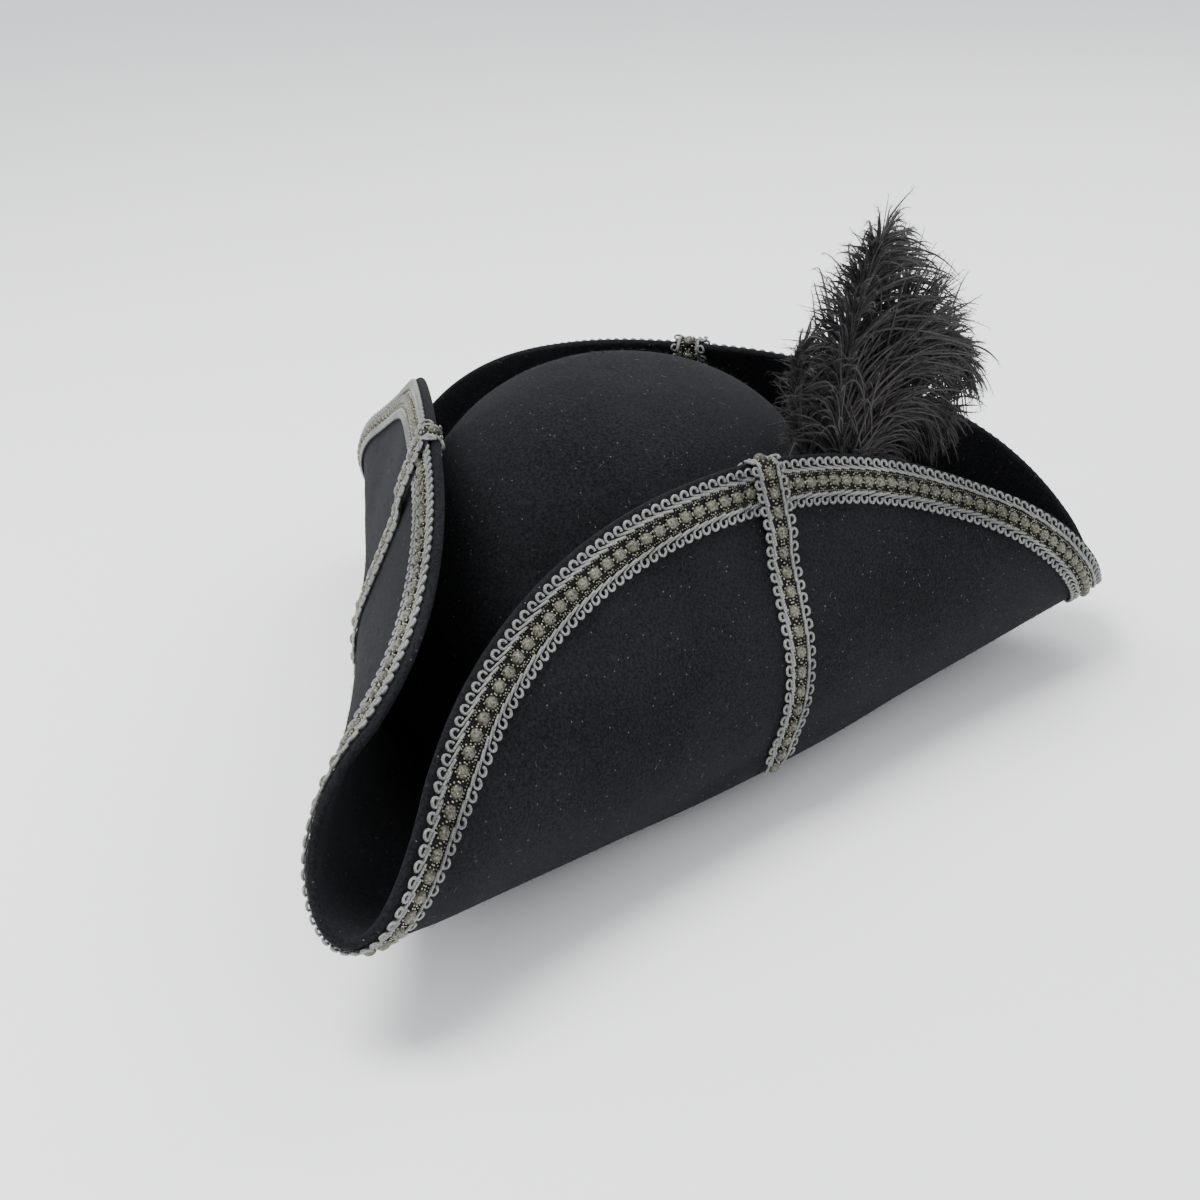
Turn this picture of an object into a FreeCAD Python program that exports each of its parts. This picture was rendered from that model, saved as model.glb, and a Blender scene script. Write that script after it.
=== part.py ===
"""Pirate hat: a felt tricorn with gimp braid and a bunch of plumes.

Frame: +Z is up, -Y is the front point of the hat and +X is the wearer's left. The origin is the centre
of the head opening, on the level where the brim leaves the crown at the front and back. Millimetres.

The brim is thought of as cut flat, an oval ring, and then turned up along three fold lines: one on each
side, which meet in the front point, and one across the back. flat_to_folded() carries a point of the
flat ring to its place on the folded hat, so the brim and every braid that lies on it share one shape.
"""
import FreeCAD, Part
import functools
import math
import os

Vector = FreeCAD.Vector
Rotation = FreeCAD.Rotation
Placement = FreeCAD.Placement

UP = Vector(0, 0, 1)
FULL_TURN = 2 * math.pi

doc = FreeCAD.newDocument("pirate_hat")

# ---------------------------------------------------------------- driving dimensions

DIMENSIONS = [
    # crown: an oval dome whose outline and shoulder are superellipses
    ("crown_half_width", 87.5),
    ("crown_half_length", 102.0),
    ("crown_height", 130.0),
    ("crown_rise_power", 2.4),
    ("crown_shoulder_power", 2.5),
    ("felt_thickness", 2.8),
    # brim, as cut flat
    ("brim_half_width", 186.0),
    ("brim_half_length", 227.0),
    ("brim_rise", 0.156),
    ("brim_settle", 22.0),
    # side folds: their lines stand side_fold_angle degrees off the hat's length
    ("side_fold_angle", 27.0),
    ("left_fold_reach", 106.0),
    ("right_fold_reach", 94.5),
    ("side_fold_turn", 115.0),
    ("side_fold_gain", 22.0),
    ("side_fold_half_zone", 42.0),
    ("side_fold_bow", -0.0005),
    # back fold
    ("back_fold_reach", 130.5),
    ("back_fold_turn", 122.0),
    ("back_fold_gain", -18.0),
    ("back_fold_half_zone", 19.0),
    ("back_fold_bow", 0.0007),
    ("fold_gain_length", 150.0),
    # gimp braid
    ("braid_width", 14.5),
    ("braid_thickness", 1.6),
    ("braid_margin", 1.2),
    ("trim_gap", 0.4),
    ("band_wrap_reach", 1.0),
    ("band_tail", 17.0),
    ("band_foot_gap", 7.0),
    ("left_band_angle", -25.3),
    ("right_band_angle", -143.5),
    ("back_band_angle", 90.0),
    # sweatband
    ("sweatband_height", 28.0),
    ("sweatband_thickness", 0.8),
    ("sweatband_gap", 0.5),
    ("stitch_count", 64),
    ("stitch_length", 4.5),
    ("thread_radius", 0.3),
    # plume bunch, tied inside the left flap
    ("bunch_left", 105.0),
    ("bunch_back", -14.5),
    ("bunch_foot", 34.0),
    ("hinge_height", 52.0),
    ("fan_heading", 60.0),
    ("quill_radius", 1.2),
    ("quill_pitch", 3.0),
    ("quill_clearance", 1.4),
    ("binding_height", 11.0),
    ("binding_wall", 0.9),
    ("shaft_tip_radius", 0.5),
]

sheet = doc.addObject("Spreadsheet::Sheet", "Dimensions")
for row, (alias, value) in enumerate(DIMENSIONS, start=1):
    sheet.set("A%d" % row, alias)
    sheet.set("B%d" % row, str(value))
    sheet.setAlias("B%d" % row, alias)
doc.recompute()


@functools.cache
def dim(alias):
    """A driving dimension, read from the sheet."""
    return float(sheet.get(alias))


def ref(alias):
    """The sheet cell of a driving dimension, for use in an expression."""
    return "Dimensions." + alias


# ---------------------------------------------------------------- shape of the folded brim

HALF_WIDTH = dim("crown_half_width")
HALF_LENGTH = dim("crown_half_length")
FELT = dim("felt_thickness")
HALF_FELT = FELT / 2


FOLD_GAIN_LIMIT = 1.2


class Fold:
    """One fold line of the brim: the flat felt beyond it turns upward through an arc."""

    def __init__(self, heading, reach, turn, gain, half_zone, bow):
        self.across = Vector(math.cos(heading), math.sin(heading), 0)
        self.along = Vector(-self.across.y, self.across.x, 0)
        self.reach = reach
        self.turn = turn
        self.gain = gain
        self.half_zone = half_zone
        self.bow = bow

    def shift(self, x, y):
        """How far the fold moves the flat point inward (along `across`) and upward."""
        along = x * self.along.x + y * self.along.y
        past = x * self.across.x + y * self.across.y - self.reach + self.bow * along ** 2
        spread = min((along / dim("fold_gain_length")) ** 2, FOLD_GAIN_LIMIT)
        turn = math.radians(self.turn + self.gain * spread)
        curvature = turn / (2 * self.half_zone)
        angle = min(max(curvature * (past + self.half_zone), 0.0), turn)
        if angle <= 0:
            return 0.0, 0.0
        straight = max(past - self.half_zone, 0.0)
        out = -self.half_zone + math.sin(angle) / curvature + straight * math.cos(turn)
        rise = (1 - math.cos(angle)) / curvature + straight * math.sin(turn)
        return out - past, rise


side_angle = math.radians(dim("side_fold_angle"))
side_bend = (dim("side_fold_turn"), dim("side_fold_gain"), dim("side_fold_half_zone"), dim("side_fold_bow"))
back_bend = (dim("back_fold_turn"), dim("back_fold_gain"), dim("back_fold_half_zone"), dim("back_fold_bow"))
FOLDS = [
    Fold(-side_angle, dim("left_fold_reach"), *side_bend),
    Fold(math.pi + side_angle, dim("right_fold_reach"), *side_bend),
    Fold(math.pi / 2, dim("back_fold_reach"), *back_bend),
]


def flat_to_folded(x, y):
    """The place on the folded brim's middle surface of a point of the flat ring."""
    ratio = max(math.hypot(x / HALF_WIDTH, y / HALF_LENGTH), 1e-9)
    outside = math.hypot(x, y) * (1 - 1 / ratio)
    step = min(max(outside / dim("brim_settle"), 0.0), 1.0)
    settle = step * step * (3 - 2 * step)
    place = Vector(x, y, dim("brim_rise") * max(outside, 0.0))
    for fold in FOLDS:
        inward, rise = fold.shift(x, y)
        place = place + fold.across * (settle * inward) + UP * rise
    return place


def outer_normal(x, y):
    """Unit normal of the folded brim on its outer face, which is the underside of the flat ring."""
    step = 0.3
    along_x = flat_to_folded(x + step, y) - flat_to_folded(x - step, y)
    along_y = flat_to_folded(x, y + step) - flat_to_folded(x, y - step)
    return along_y.cross(along_x).normalize()


def brim_offset(x, y, height):
    """A point `height` outside the brim's middle surface."""
    return flat_to_folded(x, y) + outer_normal(x, y) * height


def rim_flat(angle):
    """The flat ring's outer edge at an angle of its oval."""
    return Vector(dim("brim_half_width") * math.cos(angle), dim("brim_half_length") * math.sin(angle), 0)


def rim_outward(angle):
    """Unit normal of the flat ring's outer edge."""
    return Vector(
        math.cos(angle) / dim("brim_half_width"), math.sin(angle) / dim("brim_half_length"), 0
    ).normalize()


def head_line(angle):
    """Height of the brim's middle surface where it meets the crown."""
    return flat_to_folded(HALF_WIDTH * math.cos(angle), HALF_LENGTH * math.sin(angle)).z


# ---------------------------------------------------------------- sheets as closed solids

def surface_face(rows):
    """A smooth face through a grid of points."""
    surface = Part.BSplineSurface()
    surface.interpolate(rows)
    return surface.toShape()


def nearest_edge(edge, others):
    """The edge of `others` whose middle lies nearest the middle of `edge`."""
    return min(others, key=lambda other: (other.CenterOfMass - edge.CenterOfMass).Length)


def edge_strip(first, second):
    """The ruled strip between two edges, joined the way round that doesn't cross itself."""
    forward_or_reversed = (1, 2)
    strips = [Part.makeRuledSurface(first, second, way) for way in forward_or_reversed]
    return min(strips, key=lambda strip: strip.Length)


def sheet_solid(low_rows, high_rows, ring=False):
    """A solid between two grids of points, closed by ruled strips along their borders.

    In a ring the grids' first and last rows are the same, and only the two round borders are closed.
    """
    low = surface_face(low_rows)
    high = surface_face(high_rows)
    if ring:
        by_length = [sorted((e for e in face.Edges if e.isClosed()), key=lambda e: e.Length)
                     for face in (low, high)]
        pairs = list(zip(*by_length))
    else:
        pairs = [(edge, nearest_edge(edge, high.Edges)) for edge in low.Edges]
    strips = [edge_strip(first, second) for first, second in pairs]
    shell = Part.makeCompound([low, high] + strips)
    shell.sewShape()
    solid = Part.Solid(shell)
    if solid.Volume < 0:
        solid.reverse()
    return solid


def ring_angles(count, start=math.pi / 2):
    """Angles once round the hat, the last equal to the first."""
    return [start + FULL_TURN * (step % count) / count for step in range(count + 1)]


def feature(label, shape):
    """Add a shape that has no parametric feature of its own to the document."""
    item = doc.addObject("Part::Feature", label)
    item.Shape = shape
    return item


def compound_of(solids):
    """Separate solids of one sub-part as one shape."""
    return Part.makeCompound(solids)


# ---------------------------------------------------------------- lofts through ovals

def oval(label, half_length, half_width, placement):
    """An ellipse whose radii are expressions: half_length along its own X, half_width along its Y."""
    item = doc.addObject("Part::Ellipse", label)
    item.Placement = placement
    item.setExpression("MajorRadius", half_length)
    item.setExpression("MinorRadius", half_width)
    return item


def loft(label, sections, ruled=False):
    """A solid loft through closed sections, smooth or with straight sides from one to the next."""
    item = doc.addObject("Part::Loft", label)
    item.Sections = sections
    item.Solid = True
    item.Ruled = ruled
    return item


def cut(label, base, tool):
    """base minus tool."""
    item = doc.addObject("Part::Cut", label)
    item.Base = base
    item.Tool = tool
    return item


# ---------------------------------------------------------------- crown

CROWN_SECTIONS = [0, 9, 18, 28, 39, 51, 63, 74, 83]
HEAD_LINE_ARCS = [(-85, 25), (155, 265)]
CUTTER_STEPS = 22
CUTTER_INNER = 0.9
CUTTER_OUTER = 1.08
CUTTER_DEPTH = 10.0
CUTTER_DROP = 0.3


def dome(label, inset):
    """A dome lofted through level ovals; `inset` is an expression for the wall taken off all round."""
    sections = []
    for angle in CROWN_SECTIONS:
        shrink = "pow(cos(%g deg); 2 / %s)" % (angle, ref("crown_shoulder_power"))
        climb = "pow(sin(%g deg); 2 / %s)" % (angle, ref("crown_rise_power"))
        section = oval(
            "%s_oval_%d" % (label, angle),
            "(%s - %s) * %s" % (ref("crown_half_length"), inset, shrink),
            "(%s - %s) * %s" % (ref("crown_half_width"), inset, shrink),
            Placement(Vector(0, 0, 0), Rotation(UP, 90)),
        )
        section.setExpression("Placement.Base.z", "(%s - %s) * %s" % (ref("crown_height"), inset, climb))
        sections.append(section)
    return loft(label, sections)


def under_head_line(first, last):
    """A block under the raised stretch of the head line, wide enough to cover the crown's wall."""
    floor_rows = []
    top_rows = []
    for step in range(CUTTER_STEPS + 1):
        angle = math.radians(first + (last - first) * step / CUTTER_STEPS)
        wall = Vector(HALF_WIDTH * math.cos(angle), HALF_LENGTH * math.sin(angle), 0)
        inner = wall * CUTTER_INNER
        outer = wall * CUTTER_OUTER
        top = UP * (head_line(angle) - CUTTER_DROP)
        top_rows.append([inner + top, outer + top])
        floor_rows.append([inner - UP * CUTTER_DEPTH, outer - UP * CUTTER_DEPTH])
    return sheet_solid(floor_rows, top_rows)


crown_form = dome("crown_form", "0")
crown_hollow = dome("crown_hollow", ref("felt_thickness"))
crown_shell = cut("crown_shell", crown_form, crown_hollow)
head_line_blocks = feature("head_line_blocks", compound_of([under_head_line(*arc) for arc in HEAD_LINE_ARCS]))
crown = cut("crown", crown_shell, head_line_blocks)
doc.recompute()

# ---------------------------------------------------------------- brim

BRIM_STEPS_ROUND = 144
BRIM_STEPS_OUT = 36
BRIM_CLEARANCE = HALF_FELT + 0.2


def brim_rows(height):
    """Points of the brim's face `height` outside its middle surface, from the crown to the rim."""
    rows = []
    for angle in ring_angles(BRIM_STEPS_ROUND):
        inner = Vector(
            (HALF_WIDTH + BRIM_CLEARANCE) * math.cos(angle),
            (HALF_LENGTH + BRIM_CLEARANCE) * math.sin(angle),
            0,
        )
        row = []
        for step in range(BRIM_STEPS_OUT + 1):
            flat = inner + (rim_flat(angle) - inner) * (step / BRIM_STEPS_OUT)
            row.append(brim_offset(flat.x, flat.y, height))
        rows.append(row)
    return rows


brim = feature("brim", sheet_solid(brim_rows(-HALF_FELT), brim_rows(HALF_FELT), ring=True))

# ---------------------------------------------------------------- braid round the rim

BRAID_LOW = HALF_FELT + dim("trim_gap")
BRAID_HIGH = BRAID_LOW + dim("braid_thickness")
RIM_BRAID_STEPS = 216
BRAID_STEPS_ACROSS = 3
BRAID_END_GAP = math.radians(0.3)


def rim_braid_rows(height):
    """Points of the rim braid's face, once round the brim from one end of the braid to the other."""
    start = math.radians(dim("left_band_angle")) + BRAID_END_GAP / 2
    rows = []
    for step in range(RIM_BRAID_STEPS + 1):
        angle = start + (FULL_TURN - BRAID_END_GAP) * step / RIM_BRAID_STEPS
        row = []
        for across in range(BRAID_STEPS_ACROSS + 1):
            inset = dim("braid_margin") + dim("braid_width") * across / BRAID_STEPS_ACROSS
            flat = rim_flat(angle) - rim_outward(angle) * inset
            row.append(brim_offset(flat.x, flat.y, height))
        rows.append(row)
    return rows


rim_braid = feature("rim_braid", sheet_solid(rim_braid_rows(BRAID_LOW), rim_braid_rows(BRAID_HIGH)))

# ---------------------------------------------------------------- braid strips up the flaps

STEP_UP_GAP = 3.0
STEP_UP_LENGTH = 10.0
STEP_UP_START = dim("braid_margin") + dim("braid_width") + STEP_UP_GAP
STEP_UP_END = STEP_UP_START + STEP_UP_LENGTH
WRAP_STEPS = 5
LEG_STEP = 1.25
TACK_FROM_END = 2.0
TACK_FROM_EDGE = 1.0


def strip_length(angle):
    """Flat length of the strip that crosses the rim at `angle`, down to just short of the crown."""
    length = 0.0
    while True:
        flat = rim_flat(angle) - rim_outward(angle) * length
        ratio = math.hypot(flat.x / HALF_WIDTH, flat.y / HALF_LENGTH)
        if flat.Length * (1 - 1 / ratio) < dim("band_foot_gap"):
            return length
        length += LEG_STEP


def strip_route(length, raise_by):
    """Route of a strip's face as (inset from the rim, height off the brim's middle surface) pairs.

    The strip climbs the flap's outer face, steps over the rim braid, turns round the rim and ends on the
    flap's inner face. `raise_by` is 0 for the face against the felt and the thickness for the outer one.
    """
    over_felt = BRAID_LOW + dim("trim_gap")
    over_braid = BRAID_HIGH + dim("trim_gap")
    route = []
    legs = round(length / LEG_STEP)
    for step in range(legs):
        inset = length * (1 - step / legs)
        drop = min(max((inset - STEP_UP_START) / (STEP_UP_END - STEP_UP_START), 0.0), 1.0)
        blend = drop * drop * (3 - 2 * drop)
        route.append((inset, over_braid + (over_felt - over_braid) * blend + raise_by))
    top = over_braid + raise_by
    bottom = -(over_felt + raise_by)
    reach = dim("band_wrap_reach") + raise_by
    for step in range(WRAP_STEPS + 1):
        angle = math.pi * (0.5 - step / WRAP_STEPS)
        height = (top + bottom) / 2 + (top - bottom) / 2 * math.sin(angle)
        route.append((-reach * math.cos(angle), height))
    tail_steps = round(dim("band_tail") / LEG_STEP)
    for step in range(1, tail_steps + 1):
        route.append((dim("band_tail") * step / tail_steps, bottom))
    return route


def strip_place(angle, inset, across, height):
    """A point of the strip that crosses the rim at `angle`."""
    inward = rim_outward(angle) * -1
    flat = rim_flat(angle) + inward * max(inset, 0.0) + inward.cross(UP) * across
    beyond = max(-inset, 0.0)
    place = brim_offset(flat.x, flat.y, height)
    if beyond > 0:
        probe = 0.5
        here = flat_to_folded(flat.x, flat.y)
        back = flat_to_folded(flat.x + inward.x * probe, flat.y + inward.y * probe)
        place = place + (here - back).normalize() * beyond
    return place


def flap_band(label, angle_alias):
    """A strip of braid up the middle of a flap."""
    angle = math.radians(dim(angle_alias))
    half = dim("braid_width") / 2
    faces = []
    for raise_by in (0.0, dim("braid_thickness")):
        faces.append([
            [strip_place(angle, inset, half * side, height) for side in (-1, -0.5, 0, 0.5, 1)]
            for inset, height in strip_route(strip_length(angle), raise_by)
        ])
    return feature(label, sheet_solid(*faces))


flap_bands = [
    flap_band("left_flap_band", "left_band_angle"),
    flap_band("right_flap_band", "right_band_angle"),
    flap_band("back_flap_band", "back_band_angle"),
]


def thread_bar(first, second):
    """A straight run of thread between two points."""
    along = second - first
    return Part.makeCylinder(dim("thread_radius"), along.Length, first, along)


def band_stitches(angle_alias):
    """Two stitches across the folded-over end of a flap band."""
    angle = math.radians(dim(angle_alias))
    height = -(BRAID_LOW + dim("braid_thickness") + dim("thread_radius") + dim("trim_gap"))
    inset = dim("band_tail") - TACK_FROM_END
    reach = dim("braid_width") / 2 - TACK_FROM_EDGE
    stitches = []
    for side in (-1, 1):
        first = strip_place(angle, inset, side * reach, height)
        second = strip_place(angle, inset, side * (reach - dim("stitch_length")), height)
        stitches.append(thread_bar(first, second))
    return stitches


band_tacks = feature("band_tacks", compound_of([
    stitch
    for alias in ("left_band_angle", "right_band_angle", "back_band_angle")
    for stitch in band_stitches(alias)
]))

# ---------------------------------------------------------------- sweatband

SWEATBAND_LIFT = 0.4
SWEATBAND_STEPS_UP = 4
STITCH_LEVEL = 3.0


def inside_crown(angle, level, inset):
    """A point on the crown's outline, `inset` inside its outer surface, at a level above the origin."""
    height = dim("crown_height") - inset
    lean = math.asin((level / height) ** (dim("crown_rise_power") / 2))
    shrink = math.cos(lean) ** (2 / dim("crown_shoulder_power"))
    return Vector(
        (HALF_WIDTH - inset) * shrink * math.cos(angle),
        (HALF_LENGTH - inset) * shrink * math.sin(angle),
        level,
    )


def sweatband_rows(inset):
    """Points of a face of the sweatband, which follows the head line round the crown."""
    rows = []
    for angle in ring_angles(BRIM_STEPS_ROUND):
        foot = head_line(angle) + SWEATBAND_LIFT
        rows.append([
            inside_crown(angle, foot + dim("sweatband_height") * step / SWEATBAND_STEPS_UP, inset)
            for step in range(SWEATBAND_STEPS_UP + 1)
        ])
    return rows


SWEATBAND_OUTER = FELT + dim("sweatband_gap")
SWEATBAND_INNER = SWEATBAND_OUTER + dim("sweatband_thickness")
sweatband = feature(
    "sweatband", sheet_solid(sweatband_rows(SWEATBAND_INNER), sweatband_rows(SWEATBAND_OUTER), ring=True))


def sweatband_stitch(index):
    """One stitch near the sweatband's lower edge."""
    angle = FULL_TURN * index / dim("stitch_count")
    half_angle = dim("stitch_length") / 2 / HALF_LENGTH
    inset = SWEATBAND_INNER + dim("thread_radius") + dim("trim_gap")
    ends = [
        inside_crown(turn, head_line(turn) + SWEATBAND_LIFT + STITCH_LEVEL, inset)
        for turn in (angle - half_angle, angle + half_angle)
    ]
    return thread_bar(*ends)


sweatband_stitches = feature("sweatband_stitches", compound_of([
    sweatband_stitch(index) for index in range(int(dim("stitch_count")))
]))

# ---------------------------------------------------------------- plume bunch

PLUMES = {
    # control points of each plume's spine: (along the fan, out towards the flap, up from the hinge)
    "front_plume": [(-4.5, 0, 0), (-9, -24, 30), (-16, -36, 70), (-6, -34, 99)],
    "tall_plume": [(-1.5, 0, 0), (-3, -25, 34), (2, -34, 88), (30, -28, 136)],
    "rear_plume": [(1.5, 0, 0), (0, -28, 48), (35, -38, 120), (78, -27, 63)],
    "low_plume": [(4.5, 0, 0), (2, -27, 48), (35, -36, 80), (62, -27, 50)],
}
FLUE_START = 0.4
FLUE_SECTIONS = [(0.0, 0.25), (0.15, 0.6), (0.35, 0.9), (0.55, 1.0), (0.75, 0.85), (0.9, 0.55), (1.0, 0.2)]
FLUE_HALF_WIDTH = 7.0
FLUE_HALF_THICKNESS = 5.5
SHAFT_END = 0.96
SHAFT_SECTIONS = 13

fan_angle = math.radians(dim("fan_heading"))
FAN_ALONG = Vector(math.cos(fan_angle), math.sin(fan_angle), 0)
FAN_OUT = Vector(math.sin(fan_angle), -math.cos(fan_angle), 0)
HINGE = Vector(dim("bunch_left"), dim("bunch_back"), dim("hinge_height"))


def fan_place(point):
    """A point of the fan as a place on the hat."""
    along, out, rise = point
    return HINGE + FAN_ALONG * along + FAN_OUT * out + UP * rise


def spine_point(controls, share):
    """A point of the cubic Bezier curve with the given control points."""
    rest = 1 - share
    weights = (rest ** 3, 3 * share * rest ** 2, 3 * share ** 2 * rest, share ** 3)
    place = Vector(0, 0, 0)
    for weight, control in zip(weights, controls):
        place = place + fan_place(control) * weight
    return place


def spine_frame(controls, share):
    """Placement on the spine whose Z runs along it and whose X lies in the fan."""
    step = 0.01
    low = max(share - step, 0.0)
    high = min(share + step, 1.0)
    forward = (spine_point(controls, high) - spine_point(controls, low)).normalize()
    sideways = FAN_OUT.cross(forward).normalize()
    turn = Rotation(sideways, forward.cross(sideways), forward, "ZXY")
    return Placement(spine_point(controls, share), turn)


def plume_shaft(label, controls):
    """The tapered shaft of a plume above its binding."""
    sections = []
    for index in range(SHAFT_SECTIONS):
        share = index / (SHAFT_SECTIONS - 1)
        section = doc.addObject("Part::Circle", "%s_circle_%d" % (label, index))
        section.Placement = spine_frame(controls, share * SHAFT_END)
        section.setExpression(
            "Radius", "%s + (%s - %s) * %g" % (ref("quill_radius"), ref("shaft_tip_radius"),
                                               ref("quill_radius"), share))
        sections.append(section)
    return loft(label, sections, ruled=True)


def plume_flues(label, controls):
    """The barbs of a plume as one flattened, pointed mass round its shaft."""
    sections = []
    for index, (place, fullness) in enumerate(FLUE_SECTIONS):
        share = FLUE_START + (1 - FLUE_START) * place
        sections.append(oval(
            "%s_oval_%d" % (label, index),
            "%g" % (FLUE_HALF_WIDTH * fullness),
            "%g" % (FLUE_HALF_THICKNESS * fullness),
            spine_frame(controls, share),
        ))
    return loft(label, sections)


plume_parts = []
for plume, plume_controls in PLUMES.items():
    plume_parts.append(plume_shaft(plume + "_shaft", plume_controls))
    plume_parts.append(plume_flues(plume + "_flues", plume_controls))

# ---------------------------------------------------------------- how the bunch is tied

QUILL_COUNT = len(PLUMES)


def quill_base(index):
    """The bare lower end of one quill."""
    item = doc.addObject("Part::Cylinder", "quill_base_%d" % index)
    item.setExpression("Radius", ref("quill_radius"))
    item.setExpression(
        "Height", "%s - %s - %s" % (ref("hinge_height"), ref("bunch_foot"), ref("quill_clearance")))
    sideways = (index - (QUILL_COUNT - 1) / 2) * dim("quill_pitch")
    foot = HINGE + FAN_ALONG * sideways
    foot.z = dim("bunch_foot")
    item.Placement = Placement(foot, Rotation())
    return item


def slot_block(label, radius, height):
    """A block with round ends as long as the row of quills; radius and height are expressions."""
    row = "%d * %s" % (QUILL_COUNT - 1, ref("quill_pitch"))
    middle = doc.addObject("Part::Box", label + "_middle")
    middle.setExpression("Length", row)
    middle.setExpression("Width", "2 * (%s)" % radius)
    middle.setExpression("Height", height)
    middle.setExpression("Placement.Base.x", "-(%s) / 2" % row)
    middle.setExpression("Placement.Base.y", "-(%s)" % radius)
    pieces = [middle]
    for side in (-1, 1):
        end = doc.addObject("Part::Cylinder", "%s_end_%d" % (label, side + 1))
        end.setExpression("Radius", radius)
        end.setExpression("Height", height)
        end.setExpression("Placement.Base.x", "%d * (%s) / 2" % (side, row))
        pieces.append(end)
    block = doc.addObject("Part::MultiFuse", label)
    block.Shapes = pieces
    return block


def slot_ring(label, gap, wall, height, level):
    """A closed wrap round the row of quills; gap, wall and height are expressions."""
    inner = "%s + %s" % (ref("quill_radius"), gap)
    bore = slot_block(label + "_bore", inner, height)
    body = slot_block(label + "_body", "%s + %s" % (inner, wall), height)
    ring = cut(label, body, bore)
    centre = Vector(HINGE.x, HINGE.y, level)
    ring.Placement = Placement(centre, Rotation(UP, dim("fan_heading")))
    return ring


quill_bases = doc.addObject("Part::Compound", "quill_bases")
quill_bases.Links = [quill_base(index) for index in range(QUILL_COUNT)]

BINDING_RAISE = 3.0
BINDING_FOOT = dim("bunch_foot") + BINDING_RAISE
plume_binding = slot_ring(
    "plume_binding", ref("trim_gap"), ref("binding_wall"), ref("binding_height"), BINDING_FOOT)

TACK_SHARES = (0.2, 0.75)
TACK_LEVELS = [BINDING_FOOT + dim("binding_height") * share for share in TACK_SHARES]
tack_gap = "2 * %s + %s" % (ref("trim_gap"), ref("binding_wall"))
thread_width = "2 * " + ref("thread_radius")
plume_tacks = doc.addObject("Part::Compound", "plume_tacks")
plume_tacks.Links = [
    slot_ring("plume_tack_%d" % index, tack_gap, thread_width, thread_width, level)
    for index, level in enumerate(TACK_LEVELS)
]

doc.recompute()

# ---------------------------------------------------------------- checks and files

SUB_PARTS = [
    crown, brim, rim_braid, *flap_bands, band_tacks, sweatband, sweatband_stitches,
    *plume_parts, quill_bases, plume_binding, plume_tacks,
]

for item in doc.Objects:
    faults = {"Invalid", "Error"} & set(item.State)
    if faults:
        raise RuntimeError("%s did not recompute: %s" % (item.Label, ", ".join(sorted(faults))))

os.makedirs("parts", exist_ok=True)
for item in SUB_PARTS:
    shape = item.Shape
    if shape.isNull() or not shape.isValid() or not shape.Solids:
        raise RuntimeError("%s has no valid solid" % item.Label)
    print("%-22s %9.1f mm3  solids %d" % (item.Label, shape.Volume, len(shape.Solids)))
    shape.exportStep("parts/%s.step" % item.Label)
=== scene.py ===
"""Looks of a felt tricorn hat: blocked felt, gimp braid, a ribbon sweatband and a bunch of plumes.

Everything is in metres in the hat's own frame: +Z up, -Y the front point, +X the wearer's left.
"""

import logging
import math
import random
from collections.abc import Callable, Iterable, Sequence
from dataclasses import dataclass, field
from enum import Enum

import bmesh
import bpy
from mathutils import Matrix, Vector, noise


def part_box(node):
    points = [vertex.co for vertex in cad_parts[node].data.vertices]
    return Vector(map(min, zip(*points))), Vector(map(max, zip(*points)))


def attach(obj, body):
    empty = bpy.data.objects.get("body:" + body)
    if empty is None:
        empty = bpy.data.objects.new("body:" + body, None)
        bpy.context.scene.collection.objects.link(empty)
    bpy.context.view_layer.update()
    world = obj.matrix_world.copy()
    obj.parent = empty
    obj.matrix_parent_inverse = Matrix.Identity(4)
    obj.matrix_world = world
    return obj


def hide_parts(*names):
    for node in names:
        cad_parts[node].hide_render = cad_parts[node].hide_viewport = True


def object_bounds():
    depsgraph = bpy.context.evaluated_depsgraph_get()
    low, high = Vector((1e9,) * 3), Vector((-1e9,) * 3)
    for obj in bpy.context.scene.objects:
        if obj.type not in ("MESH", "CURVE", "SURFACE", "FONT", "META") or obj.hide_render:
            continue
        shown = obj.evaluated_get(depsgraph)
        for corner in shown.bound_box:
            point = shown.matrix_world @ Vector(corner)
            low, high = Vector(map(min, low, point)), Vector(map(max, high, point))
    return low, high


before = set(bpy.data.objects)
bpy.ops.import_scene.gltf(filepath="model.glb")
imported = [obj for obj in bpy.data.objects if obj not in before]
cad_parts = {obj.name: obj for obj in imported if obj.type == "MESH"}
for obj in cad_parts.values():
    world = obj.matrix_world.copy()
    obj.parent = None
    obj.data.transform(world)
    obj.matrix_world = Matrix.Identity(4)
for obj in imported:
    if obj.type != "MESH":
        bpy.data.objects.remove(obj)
CAD_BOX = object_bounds()

log = logging.getLogger("tricorn")
logging.basicConfig(level=logging.INFO, format="%(name)s: %(message)s")

UP = Vector((0.0, 0.0, 1.0))
FULL_TURN = 2.0 * math.pi

Place = Callable[[float, float, float], Vector]


class Side(Enum):
    """Which edge of the braid a row of scrolls runs along."""

    RIM = 1
    INNER = -1


# ------------------------------------------------------------------ mesh helpers


def mesh_object(name: str, bm: bmesh.types.BMesh, smooth: bool = True) -> bpy.types.Object:
    """Turns a bmesh into an object at the origin.

    Args:
        name: name of the piece.
        bm: the mesh, freed here.
        smooth: whether its faces are smooth shaded.

    Returns:
        The new object, linked to the scene.
    """
    mesh = bpy.data.meshes.new(name)
    for face in bm.faces:
        face.smooth = smooth
    bm.to_mesh(mesh)
    bm.free()
    piece = bpy.data.objects.new(name, mesh)
    bpy.context.scene.collection.objects.link(piece)
    return piece


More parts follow.
